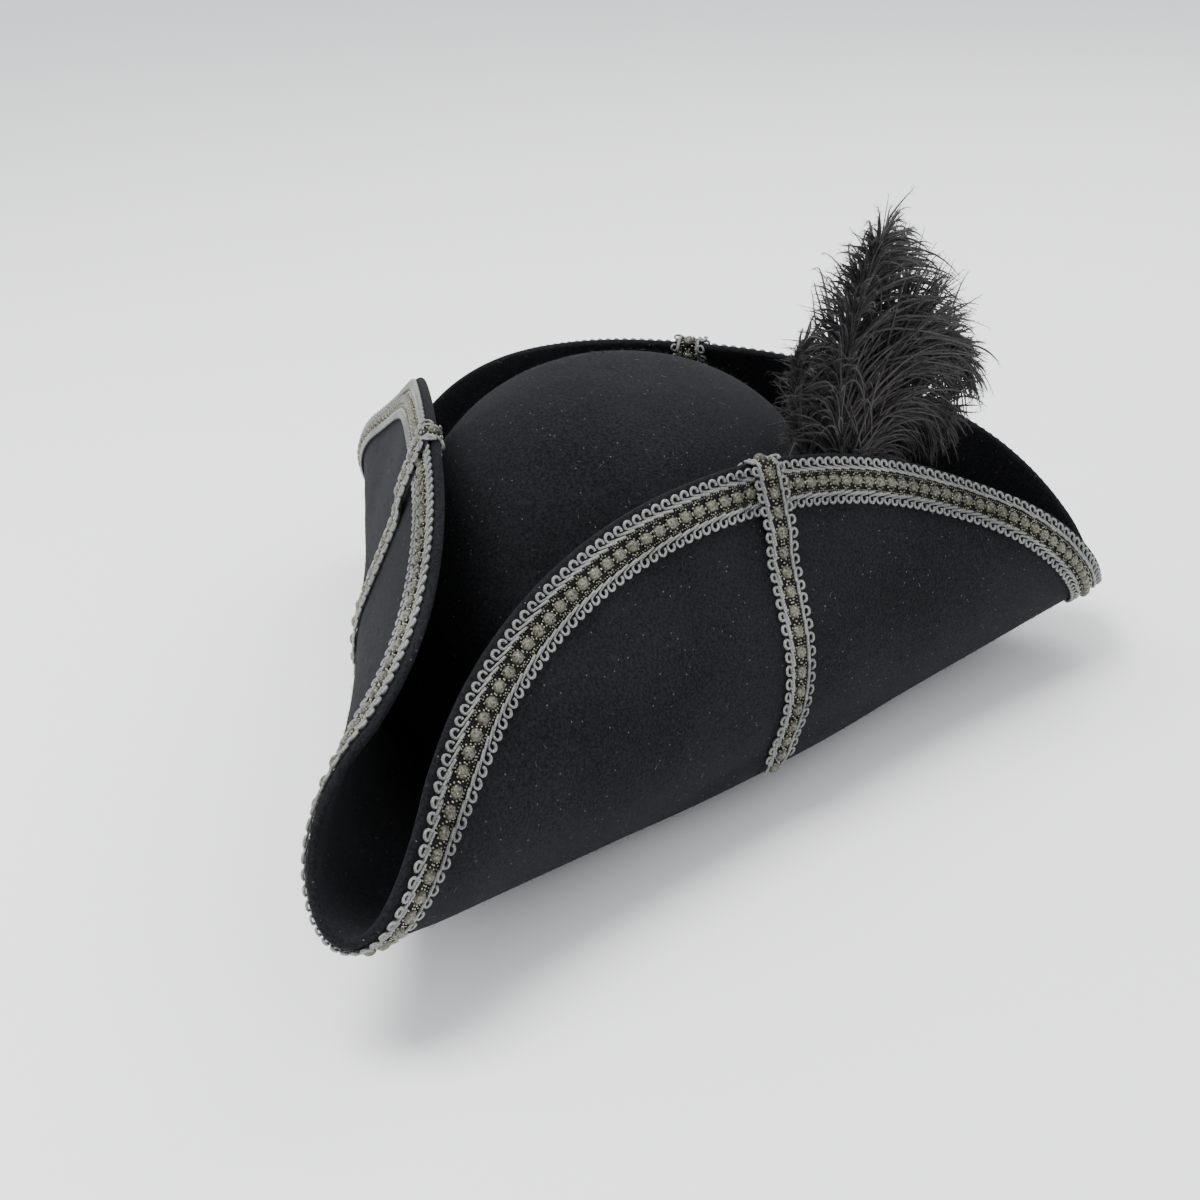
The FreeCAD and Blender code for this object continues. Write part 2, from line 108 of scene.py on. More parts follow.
def tubes_object(
    name: str,
    paths: Iterable[Sequence[Vector]],
    radii: Iterable[Sequence[float]],
    sides: int = 4,
    closed: bool = False,
) -> bpy.types.Object:
    """Makes round tubes along many paths as one mesh.

    Args:
        name: name of the piece.
        paths: points of each tube's middle.
        radii: radius of the tube at each point, in metres.
        sides: 4 for fine threads, 6 or more for cords.
        closed: whether each path joins its own start.

    Returns:
        The new object, with its ends capped.
    """
    curve = bpy.data.curves.new(name, "CURVE")
    curve.dimensions = "3D"
    curve.bevel_depth = 1.0
    curve.bevel_resolution = max(0, (sides - 4) // 2)
    curve.use_fill_caps = not closed
    for path, path_radii in zip(paths, radii):
        spline = curve.splines.new("POLY")
        spline.points.add(len(path) - 1)
        spline.points.foreach_set("co", [value for point in path for value in (*point, 1.0)])
        spline.points.foreach_set("radius", list(path_radii))
        spline.use_cyclic_u = closed
    holder = bpy.data.objects.new(name + "_path", curve)
    bpy.context.scene.collection.objects.link(holder)
    depsgraph = bpy.context.evaluated_depsgraph_get()
    mesh = bpy.data.meshes.new_from_object(holder.evaluated_get(depsgraph))
    mesh.name = name
    bpy.data.objects.remove(holder)
    bpy.data.curves.remove(curve)
    mesh.shade_smooth()
    piece = bpy.data.objects.new(name, mesh)
    bpy.context.scene.collection.objects.link(piece)
    return piece


def grid_mesh(columns: int, rows: int, place: Callable[[float, float], Vector]) -> bmesh.types.BMesh:
    """Makes a grid of faces whose corners are carried to their places.

    Args:
        columns: faces along the first share.
        rows: faces along the second share.
        place: gives a corner's place from its two shares, each from 0 to 1.

    Returns:
        The grid, open at its edges.
    """
    bm = bmesh.new()
    bmesh.ops.create_grid(bm, x_segments=columns, y_segments=rows, size=1.0)
    for vert in bm.verts:
        vert.co = place((vert.co.x + 1.0) / 2.0, (vert.co.y + 1.0) / 2.0)
    return bm


def scattered_object(name: str, seed_shape: bmesh.types.BMesh, places: Iterable[Matrix]) -> bpy.types.Object:
    """Repeats one small closed shape at many places.

    Args:
        name: name of the piece.
        seed_shape: the shape, freed here.
        places: where each copy goes.

    Returns:
        All the copies as one object.
    """
    seed_mesh = bpy.data.meshes.new(name + "_seed")
    seed_shape.to_mesh(seed_mesh)
    seed_shape.free()
    bm = bmesh.new()
    for place in places:
        copy = seed_mesh.copy()
        copy.transform(place)
        bm.from_mesh(copy)
        bpy.data.meshes.remove(copy)
    bpy.data.meshes.remove(seed_mesh)
    return mesh_object(name, bm)


def close_and_orient(bm: bmesh.types.BMesh, distance: float = 1e-5) -> None:
    """Merges the corners that meet and turns every face outwards."""
    bmesh.ops.remove_doubles(bm, verts=bm.verts, dist=distance)
    bmesh.ops.recalc_face_normals(bm, faces=bm.faces)


def ease(share: float) -> float:
    """A smooth step from 0 to 1."""
    share = min(max(share, 0.0), 1.0)
    return share * share * (3.0 - 2.0 * share)


# ------------------------------------------------------------------ shape of the hat


@dataclass(frozen=True)
class Fold:
    """One fold of the brim: felt past `reach` turns up through an arc."""

    heading: float
    reach: float
    turn: float
    gain: float
    half_zone: float
    bow: float
    gain_length: float = 0.150
    gain_limit: float = 1.2

    def shift(self, x: float, y: float) -> tuple[float, float]:
        """How far a point of the flat ring moves as the felt is folded.

        Args:
            x: the flat point's place across the hat.
            y: the flat point's place along the hat.

        Returns:
            The move outward along the fold's heading, and the rise.
        """
        across_x, across_y = math.cos(self.heading), math.sin(self.heading)
        along = y * across_x - x * across_y
        past = x * across_x + y * across_y - self.reach + self.bow * along**2
        gained = self.gain * min((along / self.gain_length) ** 2, self.gain_limit)
        turn = math.radians(self.turn + gained)
        curvature = turn / (2.0 * self.half_zone)
        angle = min(max(curvature * (past + self.half_zone), 0.0), turn)
        if angle <= 0.0:
            return 0.0, 0.0
        straight = max(past - self.half_zone, 0.0)
        out = -self.half_zone + math.sin(angle) / curvature + straight * math.cos(turn)
        return out - past, (1.0 - math.cos(angle)) / curvature + straight * math.sin(turn)


@dataclass(frozen=True)
class HatShape:
    """The crown's dome and the folded brim, as formulas."""

    crown_half_width: float = 0.0875
    crown_half_length: float = 0.102
    crown_height: float = 0.130
    rise_power: float = 2.4
    shoulder_power: float = 2.5
    felt: float = 0.0028
    rim_half_width: float = 0.186
    rim_half_length: float = 0.227
    brim_rise: float = 0.156
    settle: float = 0.022
    ripple: float = 0.0009
    folds: tuple[Fold, ...] = (
        Fold(heading=math.radians(-27.0), reach=0.106, turn=115.0, gain=22.0, half_zone=0.042, bow=-0.5),
        Fold(heading=math.radians(207.0), reach=0.0945, turn=115.0, gain=22.0, half_zone=0.042, bow=-0.5),
        Fold(heading=math.radians(90.0), reach=0.1305, turn=122.0, gain=-18.0, half_zone=0.019, bow=0.7),
    )

    def folded(self, x: float, y: float) -> Vector:
        """The place on the folded brim's middle of a point of the flat ring.

        Args:
            x: the flat point's place across the hat.
            y: the flat point's place along the hat.

        Returns:
            The folded place.
        """
        ratio = max(math.hypot(x / self.crown_half_width, y / self.crown_half_length), 1e-9)
        outside = math.hypot(x, y) * (1.0 - 1.0 / ratio)
        settle = ease(outside / self.settle)
        place = Vector((x, y, self.brim_rise * max(outside, 0.0)))
        for fold in self.folds:
            inward, rise = fold.shift(x, y)
            place.x += math.cos(fold.heading) * settle * inward
            place.y += math.sin(fold.heading) * settle * inward
            place.z += rise
        return place

    def outward(self, x: float, y: float) -> Vector:
        """The direction off the brim's outer face, the underside of the flat ring.

        Args:
            x: the flat point's place across the hat.
            y: the flat point's place along the hat.

        Returns:
            The unit normal.
        """
        step = 0.0003
        along_x = self.folded(x + step, y) - self.folded(x - step, y)
        along_y = self.folded(x, y + step) - self.folded(x, y - step)
        return along_y.cross(along_x).normalized()

    def on_brim(self, x: float, y: float, height: float) -> Vector:
        """A point `height` outside the brim's middle, with the felt's slow ripple."""
        wave = noise.noise(Vector((x, y, 0.3)) * 18.0) * self.ripple
        return self.folded(x, y) + self.outward(x, y) * (height + wave)

    def rim(self, angle: float) -> Vector:
        """The flat ring's outer edge."""
        return Vector((self.rim_half_width * math.cos(angle), self.rim_half_length * math.sin(angle), 0.0))

    def rim_out(self, angle: float) -> Vector:
        """Unit normal of the flat ring's outer edge."""
        x, y = math.cos(angle) / self.rim_half_width, math.sin(angle) / self.rim_half_length
        return Vector((x, y, 0.0)).normalized()

    def head_line(self, angle: float) -> float:
        """Height of the brim where it meets the crown."""
        x, y = self.crown_half_width * math.cos(angle), self.crown_half_length * math.sin(angle)
        return self.folded(x, y).z

    def on_crown(self, angle: float, level: float, inset: float = 0.0) -> Vector:
        """A point of the crown's outline at a level.

        Args:
            angle: angle round the hat.
            level: height above the origin.
            inset: how far inside the outer face.

        Returns:
            The point.
        """
        height = self.crown_height - inset
        lean = math.asin(min(max(level / height, 0.0), 1.0) ** (self.rise_power / 2.0))
        shrink = math.cos(lean) ** (2.0 / self.shoulder_power)
        x = (self.crown_half_width - inset) * shrink * math.cos(angle)
        return Vector((x, (self.crown_half_length - inset) * shrink * math.sin(angle), level))

    def crown_level(self, lean: float, foot: float) -> float:
        """Level at an angle up the dome, from the head line to the top."""
        full = self.crown_height * math.sin(lean) ** (2.0 / self.rise_power)
        return foot + full * (1.0 - foot / self.crown_height)


HAT = HatShape()


# ------------------------------------------------------------------ finishes


class Nodes:
    """A material's node tree, with short ways to add and join nodes."""

    def __init__(self, tree: bpy.types.NodeTree) -> None:
        """Keeps the tree."""
        self.tree = tree

    def add(self, kind: str, **values: object) -> bpy.types.Node:
        """Adds a node and sets its properties.

        Args:
            kind: the node's type.
            **values: its properties by name.

        Returns:
            The node.
        """
        node = self.tree.nodes.new(kind)
        for name, value in values.items():
            setattr(node, name, value)
        return node

    def join(self, source: bpy.types.NodeSocket, target: bpy.types.NodeSocket) -> None:
        """Links two sockets."""
        self.tree.links.new(source, target)


def fibre_group() -> bpy.types.NodeTree:
    """The shared effect of matted or spun fibre: colour mottle, pale flecks and height; on the wound beads
    the bright flecks are painted glints of light.

    Returns:
        The node group, with inputs Grain Scale, Fleck Scale, Dark, Light, Fleck and Fleck Amount and
        outputs Color and Height.
    """
    found = bpy.data.node_groups.get("fibre")
    if found:
        return found
    group = bpy.data.node_groups.new("fibre", "ShaderNodeTree")
    face = group.interface
    for name, kind, default in (
        ("Grain Scale", "NodeSocketFloat", 900.0),
        ("Fleck Scale", "NodeSocketFloat", 260.0),
        ("Dark", "NodeSocketColor", (0.01, 0.01, 0.012, 1.0)),
        ("Light", "NodeSocketColor", (0.03, 0.03, 0.035, 1.0)),
        ("Fleck", "NodeSocketColor", (0.2, 0.2, 0.2, 1.0)),
        ("Fleck Amount", "NodeSocketFloat", 0.3),
    ):
        face.new_socket(name=name, in_out="INPUT", socket_type=kind).default_value = default
    face.new_socket(name="Color", in_out="OUTPUT", socket_type="NodeSocketColor")
    face.new_socket(name="Height", in_out="OUTPUT", socket_type="NodeSocketFloat")
    nodes = Nodes(group)
    inputs = nodes.add("NodeGroupInput")
    outputs = nodes.add("NodeGroupOutput")
    place = nodes.add("ShaderNodeTexCoord")
    grain = nodes.add("ShaderNodeTexNoise")
    grain.inputs["Detail"].default_value = 4.0
    grain.inputs["Roughness"].default_value = 0.75
    nodes.join(place.outputs["Object"], grain.inputs["Vector"])
    nodes.join(inputs.outputs["Grain Scale"], grain.inputs["Scale"])
    cloud = nodes.add("ShaderNodeTexNoise")
    cloud.inputs["Scale"].default_value = 22.0
    cloud.inputs["Detail"].default_value = 3.0
    nodes.join(place.outputs["Object"], cloud.inputs["Vector"])
    blend = nodes.add("ShaderNodeMath", operation="MULTIPLY_ADD")
    nodes.join(grain.outputs["Fac"], blend.inputs[0])
    blend.inputs[1].default_value = 0.75
    thin = nodes.add("ShaderNodeMath", operation="MULTIPLY")
    nodes.join(cloud.outputs["Fac"], thin.inputs[0])
    thin.inputs[1].default_value = 0.25
    nodes.join(thin.outputs[0], blend.inputs[2])
    spread = nodes.add("ShaderNodeMapRange")
    spread.inputs["From Min"].default_value = 0.40
    spread.inputs["From Max"].default_value = 0.61
    nodes.join(blend.outputs[0], spread.inputs["Value"])
    base = nodes.add("ShaderNodeMix", data_type="RGBA")
    nodes.join(spread.outputs["Result"], base.inputs["Factor"])
    nodes.join(inputs.outputs["Dark"], base.inputs["A"])
    nodes.join(inputs.outputs["Light"], base.inputs["B"])
    # Pale flecks: specks of loose fibre on the felt, painted glints of light on the wound beads.
    fleck = nodes.add("ShaderNodeTexVoronoi", feature="F1")
    nodes.join(place.outputs["Object"], fleck.inputs["Vector"])
    nodes.join(inputs.outputs["Fleck Scale"], fleck.inputs["Scale"])
    dot = nodes.add("ShaderNodeMapRange")
    dot.inputs["From Min"].default_value = 0.16
    dot.inputs["From Max"].default_value = 0.06
    nodes.join(fleck.outputs["Distance"], dot.inputs["Value"])
    rare = nodes.add("ShaderNodeSeparateColor")
    nodes.join(fleck.outputs["Color"], rare.inputs["Color"])
    chosen = nodes.add("ShaderNodeMath", operation="LESS_THAN")
    nodes.join(rare.outputs["Red"], chosen.inputs[0])
    nodes.join(inputs.outputs["Fleck Amount"], chosen.inputs[1])
    mask = nodes.add("ShaderNodeMath", operation="MULTIPLY")
    nodes.join(dot.outputs["Result"], mask.inputs[0])
    nodes.join(chosen.outputs[0], mask.inputs[1])
    flecked = nodes.add("ShaderNodeMix", data_type="RGBA")
    nodes.join(mask.outputs[0], flecked.inputs["Factor"])
    nodes.join(base.outputs["Result"], flecked.inputs["A"])
    nodes.join(inputs.outputs["Fleck"], flecked.inputs["B"])
    nodes.join(flecked.outputs["Result"], outputs.inputs["Color"])
    nodes.join(blend.outputs[0], outputs.inputs["Height"])
    return group


@dataclass(frozen=True)
class FibreFinish:
    """A finish made of fibre: felt, cord, thread or barb."""

    name: str
    dark: tuple[float, float, float]
    light: tuple[float, float, float]
    # Colour of the pale flecks: loose fibre specks on the felt, painted glints of light on the wound beads.
    fleck: tuple[float, float, float]
    fleck_amount: float
    grain_scale: float
    fleck_scale: float
    roughness: float
    sheen: float
    metallic: float
    bump: float
    specular: float = 0.3
    ribs: float = 0.0

    def material(self) -> bpy.types.Material:
        """Builds the material.

        Returns:
            The material, with the shared fibre effect in it.
        """
        made = bpy.data.materials.new(self.name)
        made.use_nodes = True
        made.node_tree.nodes.clear()
        nodes = Nodes(made.node_tree)
        output = nodes.add("ShaderNodeOutputMaterial")
        shader = nodes.add("ShaderNodeBsdfPrincipled")
        shader.inputs["Roughness"].default_value = self.roughness
        shader.inputs["Metallic"].default_value = self.metallic
        shader.inputs["Specular IOR Level"].default_value = self.specular
        shader.inputs["Sheen Weight"].default_value = self.sheen
        shader.inputs["Sheen Roughness"].default_value = 0.45
        shader.inputs["Sheen Tint"].default_value = (0.62, 0.66, 0.75, 1.0)
        nodes.join(shader.outputs["BSDF"], output.inputs["Surface"])
        fibre = nodes.add("ShaderNodeGroup", node_tree=fibre_group())
        for name, value in (("Dark", self.dark), ("Light", self.light), ("Fleck", self.fleck)):
            fibre.inputs[name].default_value = (*value, 1.0)
        fibre.inputs["Grain Scale"].default_value = self.grain_scale
        fibre.inputs["Fleck Scale"].default_value = self.fleck_scale
        fibre.inputs["Fleck Amount"].default_value = self.fleck_amount
        nodes.join(fibre.outputs["Color"], shader.inputs["Base Color"])
        bump = nodes.add("ShaderNodeBump")
        bump.inputs["Strength"].default_value = self.bump
        bump.inputs["Distance"].default_value = 0.0006
        height = fibre.outputs["Height"]
        if self.ribs > 0.0:
            place = nodes.add("ShaderNodeUVMap", uv_map="weave")
            wave = nodes.add("ShaderNodeTexWave", wave_type="BANDS", bands_direction="X")
            wave.inputs["Scale"].default_value = self.ribs
            nodes.join(place.outputs["UV"], wave.inputs["Vector"])
            height = wave.outputs["Fac"]
        nodes.join(height, bump.inputs["Height"])
        nodes.join(bump.outputs["Normal"], shader.inputs["Normal"])
        return made


class Finish(Enum):
    """The hat's finishes."""

    FELT = FibreFinish(
        name="black_wool_felt",
        dark=(0.0018, 0.0019, 0.0024), light=(0.0135, 0.0138, 0.0158), fleck=(0.12, 0.12, 0.125),
        fleck_amount=0.20, grain_scale=1050.0, fleck_scale=520.0,
        roughness=0.95, sheen=0.035, metallic=0.0, bump=1.0,
        specular=0.10,
    )
    LINT = FibreFinish(
        name="felt_lint",
        dark=(0.04, 0.04, 0.045), light=(0.15, 0.15, 0.16), fleck=(0.2, 0.2, 0.2),
        fleck_amount=0.1, grain_scale=300.0, fleck_scale=300.0,
        roughness=0.8, sheen=0.1, metallic=0.0, bump=0.0,
    )
    NAP = FibreFinish(
        name="felt_nap",
        dark=(0.005, 0.005, 0.006), light=(0.024, 0.024, 0.027), fleck=(0.06, 0.06, 0.06),
        fleck_amount=0.1, grain_scale=300.0, fleck_scale=300.0,
        roughness=0.9, sheen=0.1, metallic=0.0, bump=0.0,
        specular=0.15,
    )
    CORD = FibreFinish(
        name="pewter_gimp_cord",
        dark=(0.055, 0.057, 0.055), light=(0.34, 0.345, 0.33), fleck=(0.66, 0.67, 0.65),
        fleck_amount=0.35, grain_scale=2600.0, fleck_scale=1500.0,
        roughness=0.42, sheen=0.12, metallic=0.25, bump=0.8,
        specular=0.55,
    )
    BEAD = FibreFinish(
        name="wound_metal_thread",
        # The bright fleck colour paints glints of light on the wound thread; dark and light are its mottled
        # tone.
        dark=(0.018, 0.018, 0.013), light=(0.22, 0.215, 0.17), fleck=(0.90, 0.88, 0.74),
        fleck_amount=0.45, grain_scale=1300.0, fleck_scale=900.0,
        roughness=0.34, sheen=0.0, metallic=0.7, bump=1.0,
        specular=0.5,
    )
    PURL = FibreFinish(
        name="bright_purl_wire",
        dark=(0.16, 0.155, 0.11), light=(0.50, 0.49, 0.39), fleck=(0.9, 0.88, 0.74),
        fleck_amount=0.4, grain_scale=900.0, fleck_scale=700.0,
        roughness=0.28, sheen=0.0, metallic=0.85, bump=0.2,
        specular=0.5,
    )
    TAPE = FibreFinish(
        name="braid_ground",
        dark=(0.003, 0.003, 0.003), light=(0.018, 0.018, 0.017), fleck=(0.07, 0.07, 0.06),
        fleck_amount=0.2, grain_scale=1800.0, fleck_scale=1200.0,
        roughness=0.85, sheen=0.05, metallic=0.0, bump=0.8,
        specular=0.2,
    )
    RIBBON = FibreFinish(
        name="grosgrain_ribbon",
        dark=(0.005, 0.005, 0.006), light=(0.018, 0.018, 0.020), fleck=(0.05, 0.05, 0.05),
        fleck_amount=0.1, grain_scale=900.0, fleck_scale=500.0,
        roughness=0.62, sheen=0.12, metallic=0.0, bump=0.6,
        specular=0.3, ribs=240.0,
    )
    THREAD = FibreFinish(
        name="black_thread",
        dark=(0.008, 0.008, 0.008), light=(0.035, 0.035, 0.036), fleck=(0.08, 0.08, 0.08),
        fleck_amount=0.2, grain_scale=2200.0, fleck_scale=900.0,
        roughness=0.6, sheen=0.1, metallic=0.0, bump=0.6,
    )
    QUILL = FibreFinish(
        name="dyed_quill",
        dark=(0.012, 0.009, 0.007), light=(0.05, 0.038, 0.030), fleck=(0.10, 0.08, 0.06),
        fleck_amount=0.1, grain_scale=420.0, fleck_scale=300.0,
        roughness=0.42, sheen=0.0, metallic=0.0, bump=0.3,
        specular=0.5,
    )
    BARB = FibreFinish(
        name="dyed_plume",
        dark=(0.005, 0.0044, 0.0046), light=(0.040, 0.034, 0.034), fleck=(0.13, 0.108, 0.104),
        fleck_amount=0.25, grain_scale=500.0, fleck_scale=700.0,
        roughness=0.55, sheen=0.08, metallic=0.0, bump=0.3,
        specular=0.4,
    )


MATERIALS: dict[Finish, bpy.types.Material] = {}


def dress(piece: bpy.types.Object, finish: Finish) -> None:
    """Gives a piece one finish all over.

    Args:
        piece: the object.
        finish: its finish, built on first use.
    """
    if finish not in MATERIALS:
        MATERIALS[finish] = finish.value.material()
    piece.data.materials.clear()
    piece.data.materials.append(MATERIALS[finish])


def place_piece(
    piece: bpy.types.Object, finish: Finish, body: str = "hat", replaced: Sequence[str] = ()
) -> None:
    """Dresses a new piece and ties it to the frame.

    Args:
        piece: the object.
        finish: its finish.
        body: the body it moves with.
        replaced: nodes that it stands for.
    """
    dress(piece, finish)
    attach(piece, body)
    if replaced:
        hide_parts(*replaced)
    log.info("%s: %d faces on %s", piece.name, len(piece.data.polygons), body)


# ------------------------------------------------------------------ felt


@dataclass
class FeltBody:
    """The crown and the brim in blocked wool felt, with nap and lint on them."""

    shape: HatShape = HAT
    round_steps: int = 320
    crown_steps: int = 56
    brim_steps: int = 44
    edge_steps: int = 6
    crown_seam: float = 0.0016
    broad_dent: float = 0.0011
    small_dent: float = 0.00035
    lint_count: int = 620
    lint_length: float = 0.0015
    lint_lift: float = 0.10
    nap_count: int = 5200
    nap_length: float = 0.0016
    nap_lift: float = 0.45
    fibre_radius: float = 0.00005
    crown_share: float = 0.3
    outer_share: float = 0.6
    seed: int = 11

    def crown(self) -> bpy.types.Object:
        """Makes the dome, with its wall closed along the head line.

        Returns:
            The crown.
        """
        shape = self.shape

        def place(turn: float, climb: float) -> Vector:
            """A point of the dome's outer face, with slow dents.

            Args:
                turn: share of the way round.
                climb: share of the way from the head line to the top.

            Returns:
                The point.
            """
            angle = FULL_TURN * turn
            foot = shape.head_line(angle)
            level = shape.crown_level(math.radians(90.0) * climb**1.15, foot)
            point = shape.on_crown(angle, level)
            dent = noise.noise(point * 16.0) * self.broad_dent + noise.noise(point * 45.0) * self.small_dent
            out = Vector((point.x, point.y, point.z * 0.9)).normalized()
            return point + out * dent * min(1.0, climb * 5.0)

        bm = grid_mesh(self.round_steps, self.crown_steps, place)
        close_and_orient(bm)
        for face in bm.faces:
            if face.calc_center_median().dot(face.normal) < 0.0:
                face.normal_flip()
        bmesh.ops.solidify(bm, geom=bm.faces[:], thickness=shape.felt)
        return mesh_object("crown_felt", bm)

    def brim(self) -> bpy.types.Object:
        """Makes the brim's ring, round its rim from the outer face to the inner one.

        Returns:
            The brim.
        """
        shape = self.shape
        half = shape.felt / 2.0
        rows = 2 * self.brim_steps + self.edge_steps
        face_share = self.brim_steps / rows
        inner_width = shape.crown_half_width + self.crown_seam - half
        inner_length = shape.crown_half_length + self.crown_seam - half

        def place(turn: float, profile: float) -> Vector:
            """A point of the brim's skin.

            Args:
                turn: share of the way round.
                profile: share of the way out along the outer face, round the edge and back inside.

            Returns:
                The point.
            """
            angle = FULL_TURN * turn
            inner = Vector((inner_width * math.cos(angle), inner_length * math.sin(angle), 0.0))
            rim = shape.rim(angle)
            if profile <= face_share or profile >= 1.0 - face_share:
                share = min(profile, 1.0 - profile) / face_share
                flat = inner.lerp(rim, min(share, 1.0))
                return shape.on_brim(flat.x, flat.y, half if profile < 0.5 else -half)
            swing = math.pi * (profile - face_share) / (1.0 - 2.0 * face_share)
            edge = shape.on_brim(rim.x, rim.y, half * math.cos(swing))
            back = rim - shape.rim_out(angle) * 0.001
            out = (shape.folded(rim.x, rim.y) - shape.folded(back.x, back.y)).normalized()
            return edge + out * half * math.sin(swing)

        bm = grid_mesh(self.round_steps, rows, place)
        bmesh.ops.remove_doubles(bm, verts=bm.verts, dist=1e-5)
        inner_edges = [edge for edge in bm.edges if edge.is_boundary]
        bmesh.ops.bridge_loops(bm, edges=inner_edges)
        bmesh.ops.recalc_face_normals(bm, faces=bm.faces)
        return mesh_object("brim_felt", bm)

    def surface_point(self, rng: random.Random) -> tuple[Vector, Vector]:
        """Picks a random point of the felt.

        Args:
            rng: source of the choice.

        Returns:
            The point and the direction away from the felt.
        """
        shape = self.shape
        angle = rng.uniform(0.0, FULL_TURN)
        if rng.random() < self.crown_share:
            level = shape.crown_level(math.radians(90.0) * rng.random() ** 0.8, shape.head_line(angle))
            point = shape.on_crown(angle, level)
            return point, Vector((point.x, point.y, max(point.z, 0.0) * 0.9)).normalized()
        width, length = shape.crown_half_width, shape.crown_half_length
        inner = Vector((width * math.cos(angle), length * math.sin(angle), 0.0))
        flat = inner.lerp(shape.rim(angle), rng.uniform(0.06, 1.0))
        side = 1.0 if rng.random() < self.outer_share else -1.0
        half = shape.felt / 2.0 * side
        return shape.on_brim(flat.x, flat.y, half), shape.outward(flat.x, flat.y) * side

    def fibres(self, name: str, count: int, length: float, radius: float, lift: float) -> bpy.types.Object:
        """Loose fibres that lie on the felt or stand off it.

        Args:
            name: name of the piece.
            count: how many.
            length: their mean length.
            radius: their radius.
            lift: how far their ends stand off, as a share of the length.

        Returns:
            The fibres as one mesh.
        """
        rng = random.Random(self.seed + count)
        paths, radii = [], []
        for _ in range(count):
            root, out = self.surface_point(rng)
            side = out.cross(Vector((rng.gauss(0, 1), rng.gauss(0, 1), rng.gauss(0, 1)))).normalized()
            bend = out.cross(side)
            size = length * rng.uniform(0.5, 1.5)
            curl = rng.uniform(-0.5, 0.5)
            path = []
            for step in range(4):
                share = step / 3.0
                path.append(root + side * size * share + bend * size * curl * share**2
                            + out * (radius + size * lift * share**1.5))
            paths.append(path)
            radii.append([radius, radius, radius * 0.8, radius * 0.4])
        return tubes_object(name, paths, radii)

    def build(self) -> None:
        """Makes and places the felt pieces."""
        place_piece(self.crown(), Finish.FELT, replaced=["crown"])
        place_piece(self.brim(), Finish.FELT, replaced=["brim"])
        lint = self.fibres("felt_lint", self.lint_count, self.lint_length, self.fibre_radius, self.lint_lift)
        place_piece(lint, Finish.LINT)
        nap = self.fibres("felt_nap", self.nap_count, self.nap_length, self.fibre_radius, self.nap_lift)
        place_piece(nap, Finish.NAP)


# ------------------------------------------------------------------ routes that braid follows


@dataclass
class RimRoute:
    """The way round the rim: distance along, distance across from the braid's middle, height off the felt."""

    start: float
    shape: HatShape = HAT
    margin: float = -0.0002
    width: float = 0.0145
    samples: int = 1440
    angles: list[float] = field(default_factory=list)
    lengths: list[float] = field(default_factory=list)

    def __post_init__(self) -> None:
        """Measures the rim once round, along the braid's middle."""
        inset = self.margin + self.width / 2.0
        total = 0.0
        last = None
        for step in range(self.samples + 1):
            angle = self.start + FULL_TURN * step / self.samples
            point = self.shape.rim(angle) - self.shape.rim_out(angle) * inset
            total += 0.0 if last is None else (point - last).length
            last = point
            self.angles.append(angle)
            self.lengths.append(total)

    @property
    def length(self) -> float:
        """Length of the braid, once round."""
        return self.lengths[-1]

    def angle_at(self, along: float) -> float:
        """Angle of the rim at a distance along the braid.

        Args:
            along: distance from the braid's start.

        Returns:
            The angle round the hat.
        """
        share = min(max(along / self.length, 0.0), 1.0) * self.samples
        low = min(int(share), self.samples - 1)
        while low > 0 and self.lengths[low] > along:
            low -= 1
        while low < self.samples - 1 and self.lengths[low + 1] < along:
            low += 1
        span = self.lengths[low + 1] - self.lengths[low]
        part = (along - self.lengths[low]) / span
        return self.angles[low] + (self.angles[low + 1] - self.angles[low]) * part

    def place(self, along: float, across: float, height: float) -> Vector:
        """A point on the braid.

        Args:
            along: distance from the braid's start.
            across: distance from its middle, towards the rim.
            height: distance off the felt.

        Returns:
            The point.
        """
        angle = self.angle_at(along)
        inset = self.margin + self.width / 2.0 - across
        flat = self.shape.rim(angle) - self.shape.rim_out(angle) * inset
        return self.shape.on_brim(flat.x, flat.y, self.shape.felt / 2.0 + height)


